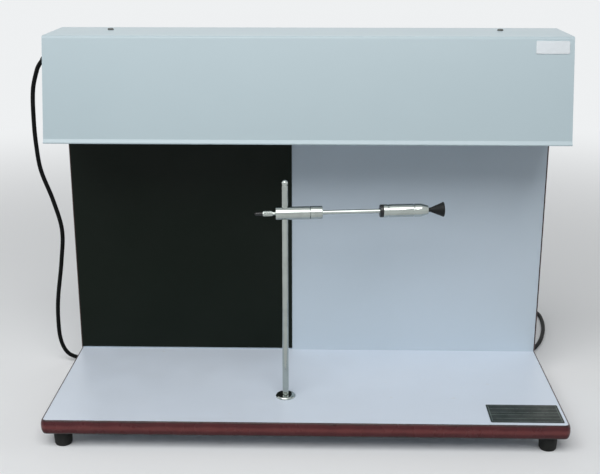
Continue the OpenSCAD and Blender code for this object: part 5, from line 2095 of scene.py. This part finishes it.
    def make(self) -> None:
        """Builds the lead and what is on it."""
        dress(CABLE_PLASTIC, "gland_nut")
        dress(BRASS, "plug_blades")
        path = self.route()
        lead, gland, tie, plug = (
            adopt(piece, Body.CABINET, Slot.CABLE, *nodes)
            for piece, *nodes in (
                (self.sheath(path), "power_cord", "cord_coil", "cord_tail"),
                (self.gland_piece(), "cable_gland"),
                (self.tie_piece(), "cord_tie"),
                (self.plug_piece(), "mains_plug"),
            )
        )
        to_row(self.boot_tip)


@dataclass(frozen=True)
class Lamp:
    """A soft rectangular lamp, in metres and watts."""

    name: str
    at: Point
    aim: Point = (0.0, 0.0, 0.3)
    size: tuple[float, float] = (1.6, 1.2)
    power: float = 9.0

    def hang(self) -> None:
        """Hangs the lamp in the scene."""
        light = bpy.data.lights.new(self.name, "AREA")
        light.shape, light.energy = "RECTANGLE", self.power
        light.size, light.size_y = self.size
        lamp = linked(light, self.name)
        lamp.location = self.at
        way = Vector(self.aim) - Vector(self.at)
        lamp.rotation_euler = way.to_track_quat("-Z", "Y").to_euler()


@dataclass
class Studio:
    """Floor, light and camera, in metres and degrees."""

    surround: Colour = (0.86, 0.875, 0.885)
    sky: Colour = (0.97, 0.985, 1.0)
    sky_strength: float = 0.18
    floor_half: float = 40.0
    floor_z: float = -0.0001
    floor_seen: Colour = (0.84, 0.855, 0.865)
    floor_bounced: Colour = (0.45, 0.455, 0.46)
    fade: Range = (0.75, 2.2)
    lamps: tuple[Lamp, ...] = (
        Lamp("softbox", (-0.25, -1.4, 1.95), (0, -0.05, 0.2), (2.4, 1.5), 47.0),
        Lamp("left_fill", (-2.6, 0.3, 1.0)),
        Lamp("right_fill", (2.6, 0.3, 1.0)),
        Lamp("rear_fill", (0, 1.9, 2.3)),
    )
    eye: Point = (21.78, -1172.16, 641.92)
    pitch: float = 17.0
    heading: float = 1.32
    lens: float = 62.18
    sensor: float = 36.0
    clip: Range = (0.05, 100.0)

    def _world(self) -> None:
        """A pale surround for the camera and for gloss, and a plainer light for the rest."""
        world = bpy.data.worlds.new("surround")
        bpy.context.scene.world = world
        world.use_nodes = True
        world.node_tree.nodes.clear()
        tree = Tree(world.node_tree)
        seen = tree.node("ShaderNodeBackground", Color=self.surround, Strength=1.0)
        light = tree.node("ShaderNodeBackground", Color=self.sky, Strength=self.sky_strength)
        tree.node("ShaderNodeOutputWorld", Surface=tree.mixed(tree.looked_at(), light, seen))

    def _floor(self) -> None:
        """A pale table that fades into the surround."""
        x = self.floor_half
        mesh = bpy.data.meshes.new("floor")
        corners = [(*at, self.floor_z) for at in ((-x, -x), (x, -x), (x, x), (-x, x))]
        mesh.from_pydata(corners, [], [(0, 1, 2, 3)])
        s = Sheet("floor_paper", Roughness=0.9, Specular_IOR_Level=0.1)
        far = s.node("ShaderNodeVectorMath", {"operation": "LENGTH"})
        s.feed(far.inputs[0], s.coordinates)
        seen = s.looked_at()
        tone = s.blended(seen, self.floor_bounced, self.floor_seen)
        s.feed(s.surface.inputs["Base Color"], tone)
        fade = s.math("MULTIPLY", s.window(far.outputs["Value"], *self.fade), seen)
        glow = s.node("ShaderNodeEmission", Color=self.surround)
        s.feed(s.out.inputs["Surface"], s.mixed(fade, s.surface, glow))
        mesh.materials.append(s.material)
        linked(mesh, "floor")

    def _camera(self) -> None:
        """The photograph's viewpoint."""
        view = bpy.data.cameras.new("view")
        view.lens, view.sensor_width, view.sensor_fit = self.lens, self.sensor, "HORIZONTAL"
        view.clip_start, view.clip_end = self.clip
        camera = linked(view, "view")
        camera.location = to_row(self.eye)
        camera.rotation_euler = (math.radians(90 - self.pitch), 0.0, math.radians(self.heading))
        bpy.context.scene.camera = camera

    def make(self) -> None:
        """Sets up the studio."""
        bpy.context.scene.view_settings.view_transform = "Standard"
        self._world()
        self._floor()
        for lamp in self.lamps:
            lamp.hang()
        self._camera()


def main() -> None:
    """Builds the sub-assemblies in order."""
    logging.basicConfig(level=logging.INFO, format="%(name)s: %(message)s")
    for assembly in (
        Studio, MainsLead, Boards, Feet, Hood, Gear, Switch, Standard, AmpouleHolder
    ):
        assembly().make()


if __name__ == "__main__":
    main()
